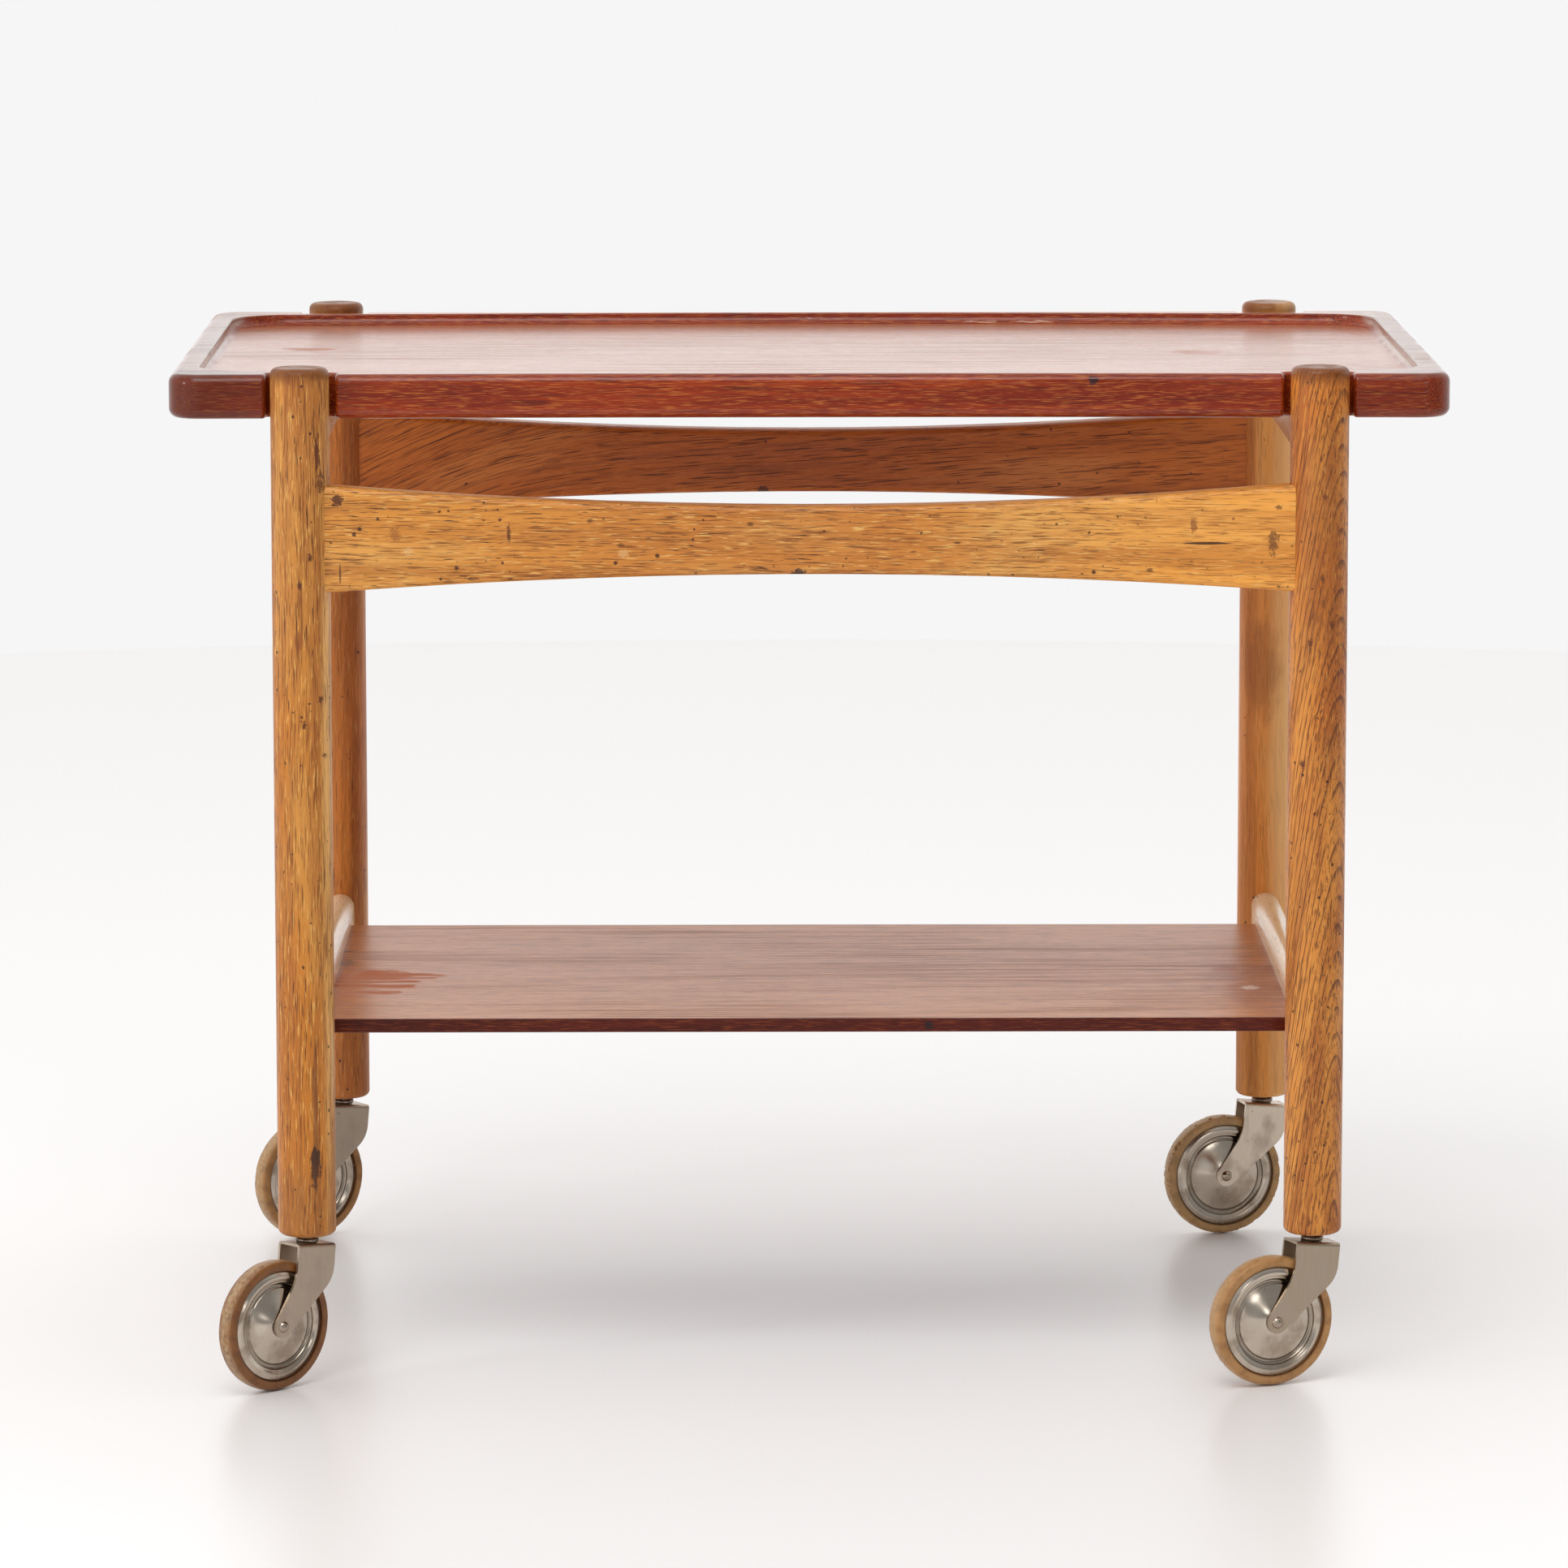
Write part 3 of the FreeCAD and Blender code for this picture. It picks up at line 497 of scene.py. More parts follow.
@dataclass(frozen=True)
class WheelSpace:
    """Where a castor's wheel stands: its middle in metres and its turn about the upright."""

    middle: Triple
    turn: float

    def place(self, tree: Tree) -> Socket:
        """Place about the wheel in millimetres, with local Y along the axle.

        Args:
            tree: takes the nodes.

        Returns:
            The place.
        """
        inputs = {
            "Vector": add_node(tree, "TexCoord")["Object"],
            "Location": self.middle,
            "Rotation": (0.0, 0.0, self.turn),
            "Scale": (MM,) * 3,
        }
        return add_node(tree, "Mapping", inputs, vector_type="TEXTURE")[0]

    def radius(self, tree: Tree) -> Socket:
        """Distance from the axle in millimetres.

        Args:
            tree: takes the nodes.

        Returns:
            The distance.
        """
        inputs = {0: self.place(tree), 1: (1.0, 0.0, 1.0)}
        flat = add_node(tree, "VectorMath", inputs, operation="MULTIPLY")[0]
        return add_node(tree, "VectorMath", {0: flat}, operation="LENGTH")["Value"]

    def outward(self, tree: Tree) -> Socket:
        """Direction away from the wheel's middle, which turns with the wheel.

        Args:
            tree: takes the nodes.

        Returns:
            The direction.
        """
        metres = add_node(tree, "TexCoord")["Object"]
        away = add_node(tree, "VectorMath", {0: metres, 1: self.middle}, operation="SUBTRACT")[0]
        spaces = {"vector_type": "VECTOR", "convert_from": "OBJECT", "convert_to": "WORLD"}
        return add_node(tree, "VectorTransform", {0: away}, **spaces)[0]

    def world(self, place: Triple) -> Vector:
        """Turn a place about the wheel, in millimetres, to one on the trolley, in metres."""
        return Vector(self.middle) + Matrix.Rotation(self.turn, 3, "Z") @ (Vector(place) * MM)


@dataclass(frozen=True)
class SatinNickel(Finish):
    """Pressed steel sheet with satin nickel plate, dulled by age.

    The eye sees a warm grey with soft wide reflections, fine rubbed lines, and dark pits where the
    plate has gone.
    """

    space: WheelSpace
    plate: str
    stain: str = "#b3a393"
    pit: str = "#40301f"
    pits: float = 0.12  # share of the possible pits that are there
    depth: float = 0.12  # depth of a pit, in millimetres
    roughness: Pair = (0.34, 0.46)

    def surface(self, tree: Tree) -> Inputs:
        """Draw the rubbed lines, the stains and the pits.

        Args:
            tree: takes the nodes.

        Returns:
            The surface shader's inputs.
        """
        place = self.space.place(tree)
        rubbed = streaks(tree, place, (0.5, 8.0, 9.0), (0.40, 0.66), 1.0, 2.0)
        cloudy = streaks(tree, place, (7.0, 7.0, 9.0), (0.42, 0.70), 0.9, 3.0)
        pits = spots(tree, place, 4.5, 0.9, self.pits, 0.75)
        return {
            "Base Color": paint(tree, self.plate, [(self.stain, cloudy), (self.pit, pits)]),
            "Metallic": 1.0,
            "Roughness": ramp(tree, rubbed, 0.0, 1.0, *self.roughness),
            "Normal": relief(tree, (pits,), self.depth),
        }


@dataclass(frozen=True)
class SpunNickel(Finish):
    """Steel hub disc spun on a lathe and nickel plated, worn.

    The eye sees a bright grey whose lights stretch out from the middle across the fine spinning rings,
    dirt in the groove and a few rust spots.
    """

    space: WheelSpace
    plate: str = "#c6baab"
    stain: str = "#a08f7d"
    dirt: str = "#54463a"
    rust: str = "#4a2f1c"
    groove: Pair = (23.6, 29.2)  # where dirt sits, from the axle in millimetres
    filled: float = 0.3  # share of the groove's width that is fully dirty
    rim: Pair = (28.5, 35.8)  # the rounded ring outside the groove, from the axle in millimetres
    rim_height: float = 0.9  # how much rounder the ring is shaded, in millimetres
    dome: Pair = (3.0, 4.0)  # radius of the dome's flat middle and its shaded height, in millimetres
    stained: float = 0.8  # how strong the stains are
    rusty: float = 0.2  # share of the possible rust spots that are there
    spin: float = 0.7  # how far lights stretch across the spinning rings
    roughness: Pair = (0.2, 0.3)

    def swell(self, tree: Tree, radius: Socket) -> Socket:
        """Shade the disc a little rounder than its sheet, as spinning leaves it.

        Args:
            tree: takes the nodes.
            radius: distance from the axle in millimetres.

        Returns:
            The height to add, in millimetres.
        """
        inner, outer = self.rim
        crest = (inner + outer) / 2
        flat, height = self.dome
        dome = ramp(tree, radius, self.groove[0], flat, high=height)
        rising = ramp(tree, radius, inner, crest)
        falling = ramp(tree, radius, outer, crest, high=self.rim_height)
        return add_node(tree, "Math", {0: rising, 1: falling, 2: dome}, operation="MULTIPLY_ADD")[0]

    def surface(self, tree: Tree) -> Inputs:
        """Draw the stains, the dirt and the rust.

        Args:
            tree: takes the nodes.

        Returns:
            The surface shader's inputs.
        """
        place = self.space.place(tree)
        radius = self.space.radius(tree)
        cloudy = streaks(tree, place, (8.0, 8.0, 8.0), (0.46, 0.72), self.stained, 4.0)
        middle = sum(self.groove) / 2
        half = (self.groove[1] - self.groove[0]) / 2
        off = add_node(tree, "Math", {0: radius, 1: middle}, operation="SUBTRACT")[0]
        away = add_node(tree, "Math", {0: off}, operation="ABSOLUTE")[0]
        dirt = ramp(tree, away, half, half * self.filled, high=0.45)
        rust = spots(tree, place, 8.0, 1.0, self.rusty, 0.85)
        rounded = {"Strength": 1.0, "Distance": MM, "Height": self.swell(tree, radius)}
        coats = [(self.stain, cloudy), (self.dirt, dirt), (self.rust, rust)]
        return {
            "Base Color": paint(tree, self.plate, coats),
            "Metallic": 1.0,
            "Roughness": ramp(tree, cloudy, 0.0, self.stained, *self.roughness),
            "Anisotropic": self.spin,
            "Tangent": self.space.outward(tree),
            "Normal": add_node(tree, "Bump", rounded)[0],
        }


@dataclass(frozen=True)
class TurnedSteel(Finish):
    """Turned steel, oiled and darkened by age.

    The eye sees a bronze grey with a soft shine and faint stains.
    """

    body: str = "#94877a"
    stain: str = "#5c5044"
    stained: float = 0.9  # how strong the stains are
    roughness: Pair = (0.29, 0.46)

    def surface(self, tree: Tree) -> Inputs:
        """Draw the stains.

        Args:
            tree: takes the nodes.

        Returns:
            The surface shader's inputs.
        """
        cloudy = streaks(tree, place_mm(tree), (2.5, 2.5, 2.5), (0.40, 0.68), self.stained, 3.0)
        return {
            "Base Color": paint(tree, self.body, [(self.stain, cloudy)]),
            "Metallic": 1.0,
            "Roughness": ramp(tree, cloudy, 0.0, self.stained, *self.roughness),
        }


@dataclass(frozen=True)
class AgedRubber(Finish):
    """Tan natural rubber, moulded, hardened and scuffed by floors.

    The eye sees a dry yellowish brown, paler where the tread has rubbed, darker towards the hub, with
    small dark specks and fine cracks.
    """

    space: WheelSpace
    body: str
    grime: str
    rub: float  # how pale the tread is
    rubbed: str = "#d2b68c"
    speck: str = "#35220f"
    wall: Pair = (36.0, 42.5)  # sidewall from the hub to the tread, in millimetres
    foot: float = 1.4  # width of the grimy strip at the hub, in millimetres
    tread: float = 1.2  # width of the rubbed strip at the tread, in millimetres
    depth: float = 0.03  # depth of the specks and cracks, in millimetres
    roughness: Pair = (0.28, 0.5)
    density: float = 1.52  # its index of refraction

    def surface(self, tree: Tree) -> Inputs:
        """Draw the rubbed tread, the grime and the specks.

        Args:
            tree: takes the nodes.

        Returns:
            The surface shader's inputs.
        """
        place = self.space.place(tree)
        radius = self.space.radius(tree)
        inner, outer = self.wall
        cloudy = streaks(tree, place, (5.0, 5.0, 5.0), (0.42, 0.68), 0.7, 4.0)
        foot = ramp(tree, radius, inner + self.foot, inner, high=0.85)
        tread = ramp(tree, radius, outer - self.tread, outer, high=self.rub)
        patches = streaks(tree, place, (1.6, 1.2, 1.6), (0.20, 0.76), 1.0, 4.0)
        worn = both(tree, tread, patches)
        specks = spots(tree, place, 4.5, 0.5, 0.3, 0.8)
        coats = [(self.grime, cloudy), (self.rubbed, worn), (self.grime, foot), (self.speck, specks)]
        return {
            "Base Color": paint(tree, self.body, coats),
            "Roughness": ramp(tree, patches, 0.0, 1.0, *self.roughness),
            "IOR": self.density,
            "Normal": relief(tree, (specks, patches), self.depth),
        }


@dataclass(frozen=True)
class PaintedFloor(Finish):
    """Smooth floor painted nearly white, in which the eye sees soft shadows and faint reflections."""

    colour: str = "#f6f4f3"
    roughness: float = 0.32
    density: float = 1.45  # its index of refraction

    def surface(self, tree: Tree) -> Inputs:
        """Values of the paint, which is the same all over."""
        return {"Base Color": linear(self.colour), "Roughness": self.roughness, "IOR": self.density}


def add_object(name: str, data: bpy.types.ID) -> bpy.types.Object:
    """Put a new object into the scene.

    Args:
        name: the object's name.
        data: its mesh, light or camera.

    Returns:
        The object.
    """
    thing = bpy.data.objects.new(name, data)
    bpy.context.scene.collection.objects.link(thing)
    return thing


def add_mesh(name: str, shape: bmesh.types.BMesh) -> bpy.types.Object:
    """Put a shape into the scene and free it.

    Args:
        name: the name of the new object and its mesh.
        shape: the shape.

    Returns:
        The object.
    """
    mesh = bpy.data.meshes.new(name)
    shape.to_mesh(mesh)
    shape.free()
    return add_object(name, mesh)


def smooth(mesh: bpy.types.Mesh) -> None:
    """Shade a mesh smooth, except at its hard edges."""
    mesh.shade_smooth()
    mesh.set_sharp_from_angle(angle=SHARP_ANGLE)


def dress_node(name: str, material: bpy.types.Material) -> str:
    """Give a CAD node its material and smooth shading.

    Args:
        name: the node's name.
        material: the material it takes.

    Returns:
        The node's name.
    """
    mesh = frame["nodes"][name].data
    mesh.materials.clear()
    mesh.materials.append(material)
    smooth(mesh)
    return name


@dataclass
class Woodwork:
    """Wooden pieces that belong together."""

    finishes: dict[str, Finish]  # each piece's finish by its node's name

    def dress(self) -> list[str]:
        """Dress every piece, and give the names of the dressed pieces."""
        return [dress_node(name, finish.material()) for name, finish in self.finishes.items()]


class Tray(Woodwork):
    """Loose teak tray with a milled well."""


class Shelf(Woodwork):
    """Thin teak shelf between the lower cross rails."""


class LegFrame(Woodwork):
    """Oak legs and rails."""


class Corner(Enum):
    """Corner of the trolley that a castor stands under."""

    FRONT_LEFT = "front_left"
    FRONT_RIGHT = "front_right"
    REAR_LEFT = "rear_left"
    REAR_RIGHT = "rear_right"


@dataclass(frozen=True)
class Wear:
    """How one castor has aged."""

    body: str  # colour of its rubber
    grime: str
    rub: float  # how pale the tread is
    loss: float = 0.25  # rubber lost from the tread, in millimetres
    chips: float = 0.3  # depth of the chips along its edges, in millimetres
    plate: str = "#bcac9a"  # colour of the fork's plate
    pits: float = 0.12  # share of pits in the fork's plate


@dataclass
class Tyre:
    """Rubber tyre with a worn tread, in millimetres from the axle and from the wheel's middle plane."""

    space: WheelSpace
    wear: Wear
    bead: Pair = (29.5, 4.73)
    wall: Pair = (36.05, 6.5)
    flank: Pair = (39.05, 6.5)
    shoulder: Pair = (41.375, 5.8)
    edge: Pair = (42.1, 3.5)
    crown: float = 42.5
    steps: int = 8  # pieces of each curved stretch of the section
    turns: int = 300  # pieces round the wheel
    patch: float = 9.0  # how far a rubbed patch of the tread reaches
    chip: float = 2.2  # how far a chip reaches
    cluster: float = 6.5  # how far a cluster of chips reaches
    clustering: float = 0.6  # how much the clusters count beside single chips
    sparing: float = 0.12  # noise level below which nothing is chipped
    sheer: float = 2.2  # how soon a chip gets to its full depth
    strip: Pair = (0.8, 2.6)  # middle of the chipped strip outside the edge, and its half width
    drawn_in: float = 0.25  # how far the side draws in where rubber is lost, as a share of the loss

    def half_section(self) -> list[Pair]:
        """Outline of one half of the section, from the bead to the crown.

        Returns:
            Radius and distance from the middle plane of each point.
        """
        points = [self.bead, (self.wall[0], self.bead[1]), self.wall]
        bends = [
            (self.flank, self.shoulder, self.edge),
            (self.edge, ((3 * self.crown + self.edge[0]) / 4, self.edge[1] / 2), (self.crown, 0.0)),
        ]
        for bend in bends:
            for step in range(self.steps):
                share = step / self.steps
                weights = ((1 - share) * (1 - 2 * share), 4 * share * (1 - share), share * (2 * share - 1))
                radius = sum(weight * point[0] for weight, point in zip(weights, bend))
                side = sum(weight * point[1] for weight, point in zip(weights, bend))
                points.append((radius, side))
        return points + [(self.crown, 0.0)]

    def worn(self, radius: float, side: float, angle: float) -> Pair:
        """Take off the rubber that has worn away at one place.

        Args:
            radius: distance from the axle.
            side: distance from the wheel's middle plane.
            angle: place round the wheel.

        Returns:
            The radius and distance that are left.
        """
        outer = min(max((radius - self.flank[0]) / (self.edge[0] - self.flank[0]), 0.0), 1.0)
        outside, half_width = self.strip
        near_edge = 1 - min(abs(abs(side) - self.edge[1] - outside) / half_width, 1.0)
        around = Vector((math.cos(angle) * self.crown, side, math.sin(angle) * self.crown))
        place = around + Vector(self.space.middle) / MM
        rubbed = self.wear.loss * outer * (0.5 + 0.5 * noise.noise(place / self.patch))
        clusters = self.clustering * noise.noise(place / self.cluster)
        chip = max(noise.noise(place / self.chip) + clusters - self.sparing, 0.0)
        lost = rubbed + self.wear.chips * near_edge * outer * min(chip * self.sheer, 1.0)
        return radius - lost, side * (1 - self.drawn_in * lost / self.wall[1])

    def build(self, name: str) -> bpy.types.Object:
        """Build the tyre where its wheel stands.

        Args:
            name: the new piece's name.

        Returns:
            The tyre.
        """
        half = self.half_section()
        section = half + [(radius, -side) for radius, side in reversed(half[:-1])]
        shape = bmesh.new()
        rings = []
        for turn in range(self.turns):
            angle = math.tau * turn / self.turns
            ring = []
            for radius, side in section:
                left, across = self.worn(radius, side, angle)
                place = (left * math.cos(angle), across, left * math.sin(angle))
                ring.append(shape.verts.new(self.space.world(place)))
            rings.append(ring)
        for ring, following in zip(rings, rings[1:] + rings[:1]):
            for point, vertex in enumerate(ring):
                after = (point + 1) % len(ring)
                shape.faces.new((vertex, ring[after], following[after], following[point]))
        bmesh.ops.recalc_face_normals(shape, faces=shape.faces)
        tyre = add_mesh(name, shape)
        smooth(tyre.data)
        return tyre


@dataclass
class Castor:
    """One swivel castor: pressed fork, riveted axle, spun hub discs and a rubber tyre."""

    corner: Corner
    wear: Wear

    def node(self, piece: str) -> str:
        """Name of one of this castor's CAD nodes."""
        return f"castor_{self.corner.value}_{piece}"

    def space(self) -> WheelSpace:
        """Find where the wheel stands from the joint that it rolls on.

        Returns:
            The wheel's place and turn.
        """
        name = f"{self.corner.value}_roll"
        roll = next(joint for joint in frame["joints"] if joint["name"] == name)
        along_x, along_y, _ = roll["axis"]
        return WheelSpace(tuple(roll["pos_m"]), math.atan2(along_y, along_x) - math.pi / 2)

    def fit_tyre(self, space: WheelSpace, rubber: bpy.types.Material) -> str:
        """Put the worn tyre in the place of the plain one.

        Args:
            space: where the wheel stands.
            rubber: the tyre's material.

        Returns:
            The tyre's name.
        """
        tyre = Tyre(space, self.wear).build(f"worn_tyre_{self.corner.value}")
        tyre.data.materials.append(rubber)
        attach(tyre, f"wheel_{self.corner.value}")
        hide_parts(self.node("tyre"))
        return tyre.name

    def dress(self) -> list[str]:
        """Dress every piece of the castor.

        Returns:
            The names of the dressed pieces.
        """
        space, wear = self.space(), self.wear
        word = self.corner.value.replace("_", " ")
        plate = SatinNickel(f"satin nickel fork {word}", space, wear.plate, pits=wear.pits).material()
        rivet = SatinNickel(f"rubbed nickel axle {word}", space, "#a39584", roughness=(0.12, 0.24)).material()
        spun = SpunNickel(f"spun nickel hub {word}", space).material()
        dark = TurnedSteel(f"darkened steel {word}").material()
        rubber = AgedRubber(f"aged rubber tyre {word}", space, wear.body, wear.grime, wear.rub).material()
        finishes = {
            "fork": plate,
            "axle": rivet,
            **dict.fromkeys(("hub_disc_outer", "hub_disc_inner"), spun),
            **dict.fromkeys(("bush", "collar", "stem", "socket"), dark),
        }
        dressed = [dress_node(self.node(piece), material) for piece, material in finishes.items()]
        return dressed + [self.fit_tyre(space, rubber)]


@dataclass(frozen=True)
class SoftBox:
    """A soft box lamp, in metres and watts."""

    name: str
    place: Triple
    target: Triple
    size: Pair
    watts: float

    def hang(self) -> None:
        """Hang the lamp, unseen by the camera."""
        light = bpy.data.lights.new(self.name, "AREA")
        light.shape = "RECTANGLE"
        light.size, light.size_y = self.size
        light.energy = self.watts
        lamp = add_object(self.name, light)
        lamp.location = self.place
        lamp.rotation_mode = "QUATERNION"
        lamp.rotation_quaternion = (Vector(self.target) - Vector(self.place)).to_track_quat("-Z", "Y")
        lamp.visible_camera = False


@dataclass
class Studio:
    """Pale floor, soft lights and the camera, in metres and radians."""

    floor_radius: float = 3.5
    floor_sides: int = 128
    backdrop: str = "#f6f6f6"
    dark_side: Triple = (0.7, -0.714, 0.0)  # where the room is dark, behind the camera to its right
    dusk: Pair = (0.9, 0.1)  # how far towards that side the room is dark, and where it is white again
    room_dark: float = 0.3  # level of the room there
    room_white: float = 1.0  # level of the white walls
    eye: Triple = (-0.052838, -5.226728, 1.131527)
    pitch: float = 0.1473
    yaw: float = 0.00725
    roll: float = -0.00046
    focal_pixels: float = 9684.03
    lamps: tuple[SoftBox, ...] = (
        SoftBox("key", (-0.5, -2.0, 3.2), (0.0, 0.0, 0.4), (1.8, 1.8), 35.0),
        SoftBox("side", (-3.0, -1.85, 1.25), (0.0, 0.0, 0.2), (0.35, 0.6), 9.0),
        SoftBox("fill", (1.7, -3.3, 1.0), (0.0, 0.0, 0.2), (0.6, 0.6), 4.5),
        SoftBox("wall wash", (0.0, 3.6, 1.1), (0.0, 0.0, 0.6), (5.0, 1.5), 6.5),
    )

    def lay_floor(self) -> None:
        """Lay a round painted floor."""
        shape = bmesh.new()
        bmesh.ops.create_circle(shape, cap_ends=True, segments=self.floor_sides, radius=self.floor_radius)
        floor = add_mesh("floor", shape)
        floor.data.materials.append(PaintedFloor("painted floor").material())

    def light_room(self) -> None:
        """Light the room: white for the camera and for shine, with a darker front behind the camera."""
        world = bpy.data.worlds.new("studio")
        world.use_nodes = True
        tree = world.node_tree
        tree.nodes.clear()
        aim = {0: add_node(tree, "TexCoord")["Generated"], 1: self.dark_side}
        toward = add_node(tree, "VectorMath", aim, operation="DOT_PRODUCT")["Value"]
        walls = ramp(tree, toward, *self.dusk)
        level = ramp(tree, toward, *self.dusk, self.room_dark, self.room_white)
        room = add_node(tree, "Background", {"Color": linear("#ffffff"), "Strength": level})[0]
        white = add_node(tree, "Background", {"Color": linear(self.backdrop), "Strength": 1.0})[0]
        path = add_node(tree, "LightPath")
        shine = both(tree, most(tree, (path["Is Glossy Ray"], path["Is Transmission Ray"])), walls)
        seen = most(tree, (path["Is Camera Ray"], shine))
        mixed = add_node(tree, "MixShader", {0: seen, 1: room, 2: white})[0]
        add_node(tree, "OutputWorld", {"Surface": mixed})
        bpy.context.scene.world = world

    def set_camera(self) -> None:
        """Stand the camera where the photograph was taken from."""
        ahead = Vector((
            math.sin(self.yaw) * math.cos(self.pitch),
            math.cos(self.yaw) * math.cos(self.pitch),
            -math.sin(self.pitch),
        ))
        level = Vector((math.cos(self.yaw), -math.sin(self.yaw), 0.0))
        upright = level.cross(ahead)
        right = level * math.cos(self.roll) + upright * math.sin(self.roll)
        up = upright * math.cos(self.roll) - level * math.sin(self.roll)
        data = bpy.data.cameras.new("camera")
        data.sensor_width = SENSOR_MM
        data.lens = SENSOR_MM * self.focal_pixels / PHOTO_PIXELS
        data.dof.use_dof = False
        camera = add_object("camera", data)
        camera.matrix_world = Matrix.Translation(self.eye) @ Matrix((right, up, -ahead)).transposed().to_4x4()
        bpy.context.scene.camera = camera

    def build(self) -> None:
        """Build the whole studio."""
        self.set_camera()
        self.lay_floor()
        self.light_room()
        for lamp in self.lamps:
            lamp.hang()
        bpy.context.scene.view_settings.view_transform = "Standard"


def tray_teak() -> OiledTeak:
    """Choose the teak of the tray.

    Returns:
        The finish.
    """
    rear, ends = 207.0, (-1.0, 1.0)
    scratch, rim, end_grain_and_sheen = "#d9b7a0", "#6a3816", "#c4b2a4"
    return OiledTeak(
        "oiled teak tray",
        Timber(Grain.ALONG, (0.0, 60.0, 420.0), wander=1.5),
        # Its pale tops are partly painted sheen
        dry_and_sheen="#c0876a", grey="#83563e", weather=(3.2, 110.0), roughness=(0.14, 0.24), wax=0.12, density=1.39,
        stains=(
            Mark((-331.8, 29.4, 646.9), (19.0, 17.0, 4.0), "#a5512f", 0.55, 0.5, 0.5),
            Mark((262.3, -1.4, 646.9), (21.0, 15.0, 4.0), "#a5512f", 0.55, 0.5, 0.5),
        ),
        marks=(
            # Pale end coves: end grain, with painted sheen
            *[Mark((end * 391.0, 0.0, 652.5), (8.0, 205.0, 4.5), end_grain_and_sheen, 0.8, 0.1, 0.3) for end in ends],
            *[Mark((end * 401.0, 0.0, 657.0), (40.0, 420.0, 4.0), rim, 0.75, 0.5, 0.4) for end in ends],
            # Painted shade: the front face darker towards both ends
            Mark((-410.0, -225.0, 640.0), (80.0, 40.0, 40.0), "#4c1602", 0.7, 0.3, 0.7),
            Mark((410.0, -225.0, 640.0), (70.0, 40.0, 40.0), "#561807", 0.4, 0.3, 0.7),
            *scuffs(rear, [(-2.6, 650.4)], (9.0, 1.6), "#24100a", 0.9),
            *scuffs(rear, [(12.0, 650.8)], (16.0, 1.2), scratch, 0.7),
            *scuffs(rear, [(122.8, 648.6), (160.5, 648.6)], (14.0, 0.9), scratch, 0.6),
            Mark((-397.1, -51.1, 654.4), (4.5, 3.0, 2.0), "#3a120a", 0.9),
            Mark((180.9, -229.0, 649.9), (3.0, 6.0, 2.6), "#2b2026", 0.85),
        ),
    )


def shelf_teak() -> OiledTeak:
    """Choose the teak of the shelf.

    Returns:
        The finish.
    """
    oil, top = "#bd7048", 229.3
    return OiledTeak(
        "oiled teak shelf",
        Timber(Grain.ALONG, (0.0, 120.0, -160.0), lean=(0.0, 0.0, 0.5), wander=1.5, calm=(60.0, 260.0)),
        # Its pale top is partly painted sheen
        ground="#561405", band="#410e04", streak="#863f1b", dry_and_sheen="#cf8750", grey="#83502f", dry_and_sheen_strength=0.95,
        weather=(1.4, 70.0), dry_roughness=(0.32, 0.44), wax=0.0, density=1.33,
        stains=(
            Mark((-290.0, -46.0, top), (32.0, 48.0, 4.0), oil, 0.9, 0.6, 0.3),
            Mark((-262.0, -24.0, top), (22.0, 14.0, 4.0), oil, 0.8, 0.6, 0.3),
            Mark((304.0, -60.0, top), (34.0, 110.0, 4.0), "#8c4630", 0.5, 0.8, 0.35),
        ),
        marks=(
            Mark((-310.8, 28.4, top), (5.5, 12.0, 3.0), "#7a5645", 0.7),
            Mark((-312.1, 77.6, top), (6.0, 1.8, 3.0), "#3f1d12", 0.8),
            Mark((294.6, -73.4, top), (6.0, 7.0, 3.0), "#e3cfc0", 0.6, 0.9),
            Mark((78.0, -186.0, 224.0), (2.6, 6.0, 3.0), "#1f1a1e", 0.8),
        ),
    )


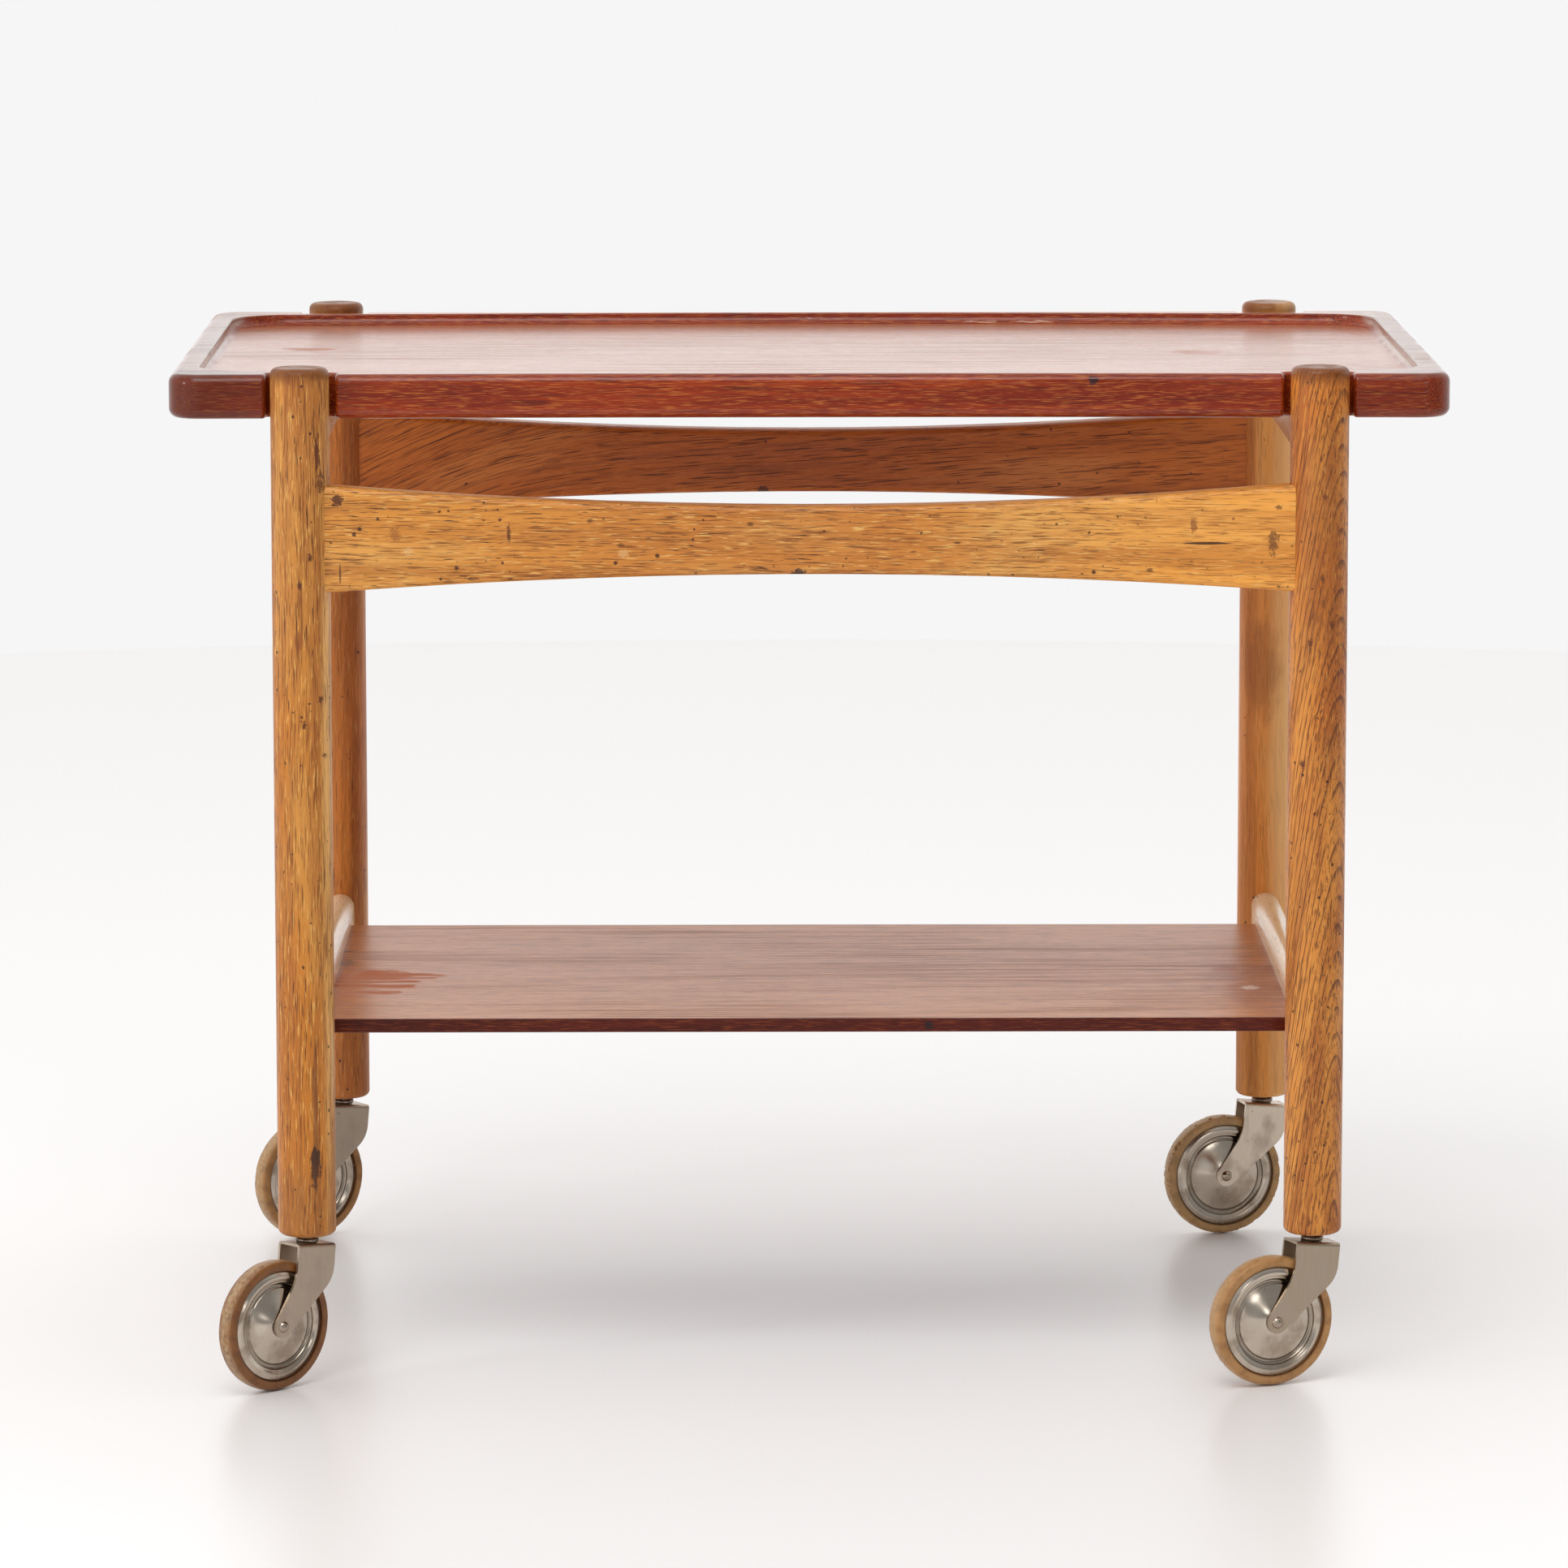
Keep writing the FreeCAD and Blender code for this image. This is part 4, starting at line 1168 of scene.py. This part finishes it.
def front_rail_oak() -> WornOak:
    """Choose the oak of the front rail, with its bruises and ink spots, and painted light towards its right
    end.

    Returns:
        The finish.
    """
    face = -250.5
    bruise = "#512410"
    inked = [
        (-290.5, 554.3), (-287.0, 557.5), (-225.4, 532.6), (-124.0, 535.8), (-97.4, 540.2), (180.9, 529.5)
    ]
    dents = [(-140.0, 562.9), (-120.8, 547.0), (-38.1, 560.5), (216.4, 530.8), (298.6, 570.9)]
    pale = [(-256.1, 543.4), (-119.2, 541.5)]
    return WornOak(
        "honey oak front rail",
        Timber(Grain.ALONG, (0.0, -180.0, 480.0), lean=(0.0, 0.6, 0.0), wander=3.0),
        dash=(0.42, 7.0),
        specks=0.6,
        tints_and_painted_light=(
            Mark((0.0, face, 560.0), (170.0, 20.0, 90.0), "#b5642a", 0.5, 0.3, 0.8),
            # Painted light: the right end paler, as if lit from the right
            Mark((260.0, face, 556.0), (120.0, 20.0, 70.0), "#ffb04e", 0.7, 0.3, 0.8),
        ),
        marks=(
            # More painted light on the right end
            Mark((280.0, face, 556.0), (80.0, 20.0, 60.0), "#fba642", 0.25, 0.3, 0.8),
            *scuffs(face, [(-301.3, 575.8)], (3.4, 3.6), bruise, 0.9),
            *scuffs(face, inked, (1.3, 1.4), "#3a170b", 0.9),
            *scuffs(face, dents, (2.1, 1.3), bruise, 0.7),
            *scuffs(face, pale, (3.0, 2.6), "#f0c68c", 0.35),
            *scuffs(face, [(-264.4, 554.3)], (3.2, 4.0), "#9a5a28", 0.6),
            *scuffs(face, [(-192.0, 554.3)], (1.1, 5.5), bruise, 0.8),
            Mark((-299.6, face, 529.0), (0.7, SCUFF_DEPTH, 6.5), "#4a2a18", 0.7, 0.2),
            *scuffs(face, [(-7.4, 529.2)], (4.0, 2.4), "#1d1a22", 0.85),
            Mark((252.4, face, 547.9), (15.0, SCUFF_DEPTH, 0.9), "#2c1209", 0.9, 0.4),
            *scuffs(face, [(295.3, 548.5)], (3.0, 7.0), bruise, 0.65),
            *scuffs(face, [(244.5, 559.5)], (2.2, 5.0), "#7a3c1c", 0.65),
        ),
    )


def leg_top(x: float, y: float) -> Mark:
    """Darker wood at the top of the leg that stands at a place in millimetres, where hands reach it."""
    return Mark((x, y, 664.0), (40.0, 40.0, 13.0), "#6a3408", 0.8, 0.35, 0.4)


def front_leg_oak() -> dict[str, WornOak]:
    """Choose the oak of the two front legs.

    Returns:
        The finish of each leg by its node's name.
    """
    face = -257.0
    scar = "#4c1a0d"
    left_dots = [(-325.2, 522.4), (-312.3, 448.6), (-310.5, 412.0), (-322.9, 432.5), (-318.5, 540.0)]
    right_dots = [(327.4, 578.4), (319.2, 484.9), (314.5, 406.4), (326.4, 526.0), (333.1, 496.2)]
    return {
        "leg_front_left": WornOak(
            "honey oak leg front left",
            Timber(Grain.UP, (-LEG_X - 8.0, -140.0, 300.0), lean=(0.6, 0.4, 0.0)),
            ground="#ca7c28", band="#a55e26", pale="#e4ac5a", specks=0.5,
            # The pale strip down the leg's right side is painted light
            tints_and_painted_light=(Mark((-306.0, -244.0, 360.0), (6.5, 24.0, 330.0), "#ffc878", 0.9, 0.3, 0.5),),
            marks=(
                leg_top(-LEG_X, -LEG_Y),
                Mark((-313.6, face, 606.0), (1.6, 9.0, 13.0), scar, 0.8),
                Mark((-311.5, face, 588.0), (2.4, 9.0, 6.0), scar, 0.75),
                *scuffs(face, left_dots, (1.3, 2.4), scar, 0.85),
                Mark((-326.0, face, 486.8), (2.8, SCUFF_DEPTH, 6.0), "#935224", 0.6, 0.2),
                Mark((-318.3, face, 170.0), (1.5, 9.0, 62.0), "#6a3a1a", 0.55, 0.5),
                Mark((-318.3, face, 146.5), (2.9, 9.0, 12.0), "#260f08", 0.9),
                Mark((-330.0, face, 115.0), (24.0, 24.0, 30.0), "#8a5226", 0.35, 0.4, 0.6),
            ),
        ),
        "leg_front_right": WornOak(
            "honey oak leg front right",
            # Its log stood in front of it to the right, so that arcs show on the right
            # and slanted lines on the left
            Timber(Grain.UP, (LEG_X + 57.5, -288.0, 380.0), lean=(6.5, 7.75, 0.0), wander=2.6),
            ground="#ce7626", band="#a05620", pale="#e2a04c", pore="#5c2c0e",
            lines=0.8, dashes=0.6, flecks=0.55, specks=0.6,
            # The lighter strip down the leg's left side is painted light
            tints_and_painted_light=(Mark((308.0, -246.0, 360.0), (7.0, 24.0, 330.0), "#f09c46", 0.4, 0.3, 0.5),),
            marks=(
                leg_top(LEG_X, -LEG_Y),
                *scuffs(face, right_dots, (1.4, 2.2), scar, 0.8),
                Mark((LEG_X, face, 540.0), (14.0, 24.0, 60.0), "#8c5021", 0.4, 0.5, 0.7),
            ),
        ),
    }


def rear_oak() -> dict[str, WornOak]:
    """Choose the oak of the rear rail and the two rear legs.

    Returns:
        The finish of each piece by its node's name.
    """
    face = 229.5
    return {
        "long_rail_rear": WornOak(
            "brown oak rear rail",
            Timber(
                Grain.ALONG, (-120.0, 330.0, 520.0), lean=(0.0, -4.0, 0.0), wander=3.0, bow=(-120.0, 420.0)
            ),
            ground="#cb7228", band="#b96323", pale="#d98f4c", pore="#6f3414", ink="#4f2410",
            pores=0.45, lines=0.35, dashes=0.85, dash=(0.4, 17.0), gaps=(0.61, 0.66),
            # Painted shade: the middle of the rail darker, under the tray
            tints_and_painted_light=(Mark((0.0, face, 560.0), (170.0, 30.0, 90.0), "#8f3f20", 0.55, 0.3, 0.8),),
            marks=(Mark((-27.9, face, 529.8), (4.0, SCUFF_DEPTH, 2.2), "#2a1a1c", 0.8),),
            **SHELTERED,
        ),
        "leg_rear_left": WornOak(
            "oak leg rear left",
            Timber(Grain.UP, (-300.0, 330.0, 200.0), lean=(0.0, 0.8, 0.0)),
            ground="#d07c30", band="#9c5722", pores=0.45, dashes=0.5,
            marks=(leg_top(-LEG_X, LEG_Y),),
            **SHELTERED,
        ),
        "leg_rear_right": WornOak(
            "oak leg rear right",
            Timber(Grain.UP, (330.0, 330.0, 300.0), lean=(0.0, -1.0, 0.0)),
            ground="#ea9640", band="#bc6f2c", pores=0.3, lines=0.12, dashes=0.3,
            marks=(
                leg_top(LEG_X, LEG_Y),
                # Painted light: a pale strip down the leg's right side
                Mark((337.0, 224.0, 400.0), (9.0, 24.0, 330.0), "#ffcd8c", 0.45, 0.3, 0.6),
                Mark((321.0, 221.0, 404.0), (13.0, 20.0, 30.0), "#8a4d20", 0.45, 0.6, 0.5),
            ),
            **SHELTERED,
        ),
    }


def cross_rail_oak() -> dict[str, WornOak]:
    """Choose the oak of the four cross rails, painted pale for the sheen on them.

    Returns:
        The finish of each rail by its node's name.
    """
    piths = {
        ("upper", "left"): (-250.0, 0.0, 520.0),
        ("upper", "right"): (250.0, 0.0, 500.0),
        ("lower", "left"): (-300.0, 0.0, 150.0),
        ("lower", "right"): (360.0, 0.0, 170.0),
    }
    marks = {("lower", "left"): (Mark((-320.0, 52.5, 259.9), (9.0, 14.0, 7.0), "#8f4c2a", 0.75),)}
    return {
        f"{level}_cross_rail_{side}": WornOak(
            f"oak {level} rail {side}",
            Timber(Grain.ACROSS, pith),
            # Painted sheen: the pale colours stand in for the shine along the rails
            ground="#f8d8b0", band="#e4b882", pale="#fbe8cc", pore="#a97444",
            pores=0.3, lines=0.1, dashes=0.3, depth=0.01, roughness=(0.14, 0.28),
            marks=marks.get((level, side), ()),
            **SHELTERED,
        )
        for (level, side), pith in piths.items()
    }


def castors() -> list[Castor]:
    """Choose how each castor has aged.

    Returns:
        The four castors.
    """
    return [
        Castor(Corner.FRONT_LEFT, Wear("#82501f", "#633814", rub=0.65, pits=0.15)),
        Castor(Corner.FRONT_RIGHT, Wear("#b58550", "#8d6034", rub=0.5, plate="#b3a28e")),
        Castor(Corner.REAR_LEFT, Wear("#a5753f", "#7a5028", rub=0.6, pits=0.7)),
        Castor(
            Corner.REAR_RIGHT,
            Wear("#b98e5a", "#927046", rub=0.4, loss=0.5, chips=2.4, plate="#dccdbb", pits=0.25),
        ),
    ]


def main() -> None:
    """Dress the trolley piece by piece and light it."""
    logging.basicConfig(level=logging.INFO, format="%(message)s")
    oak = {"long_rail_front": front_rail_oak(), **front_leg_oak(), **rear_oak(), **cross_rail_oak()}
    for assembly in [Tray({"tray": tray_teak()}), Shelf({"shelf": shelf_teak()}), LegFrame(oak), *castors()]:
        for piece in assembly.dress():
            LOG.info("dressed %s", piece)
    Studio().build()
    LOG.info("lit the studio")


if __name__ == "__main__":
    main()
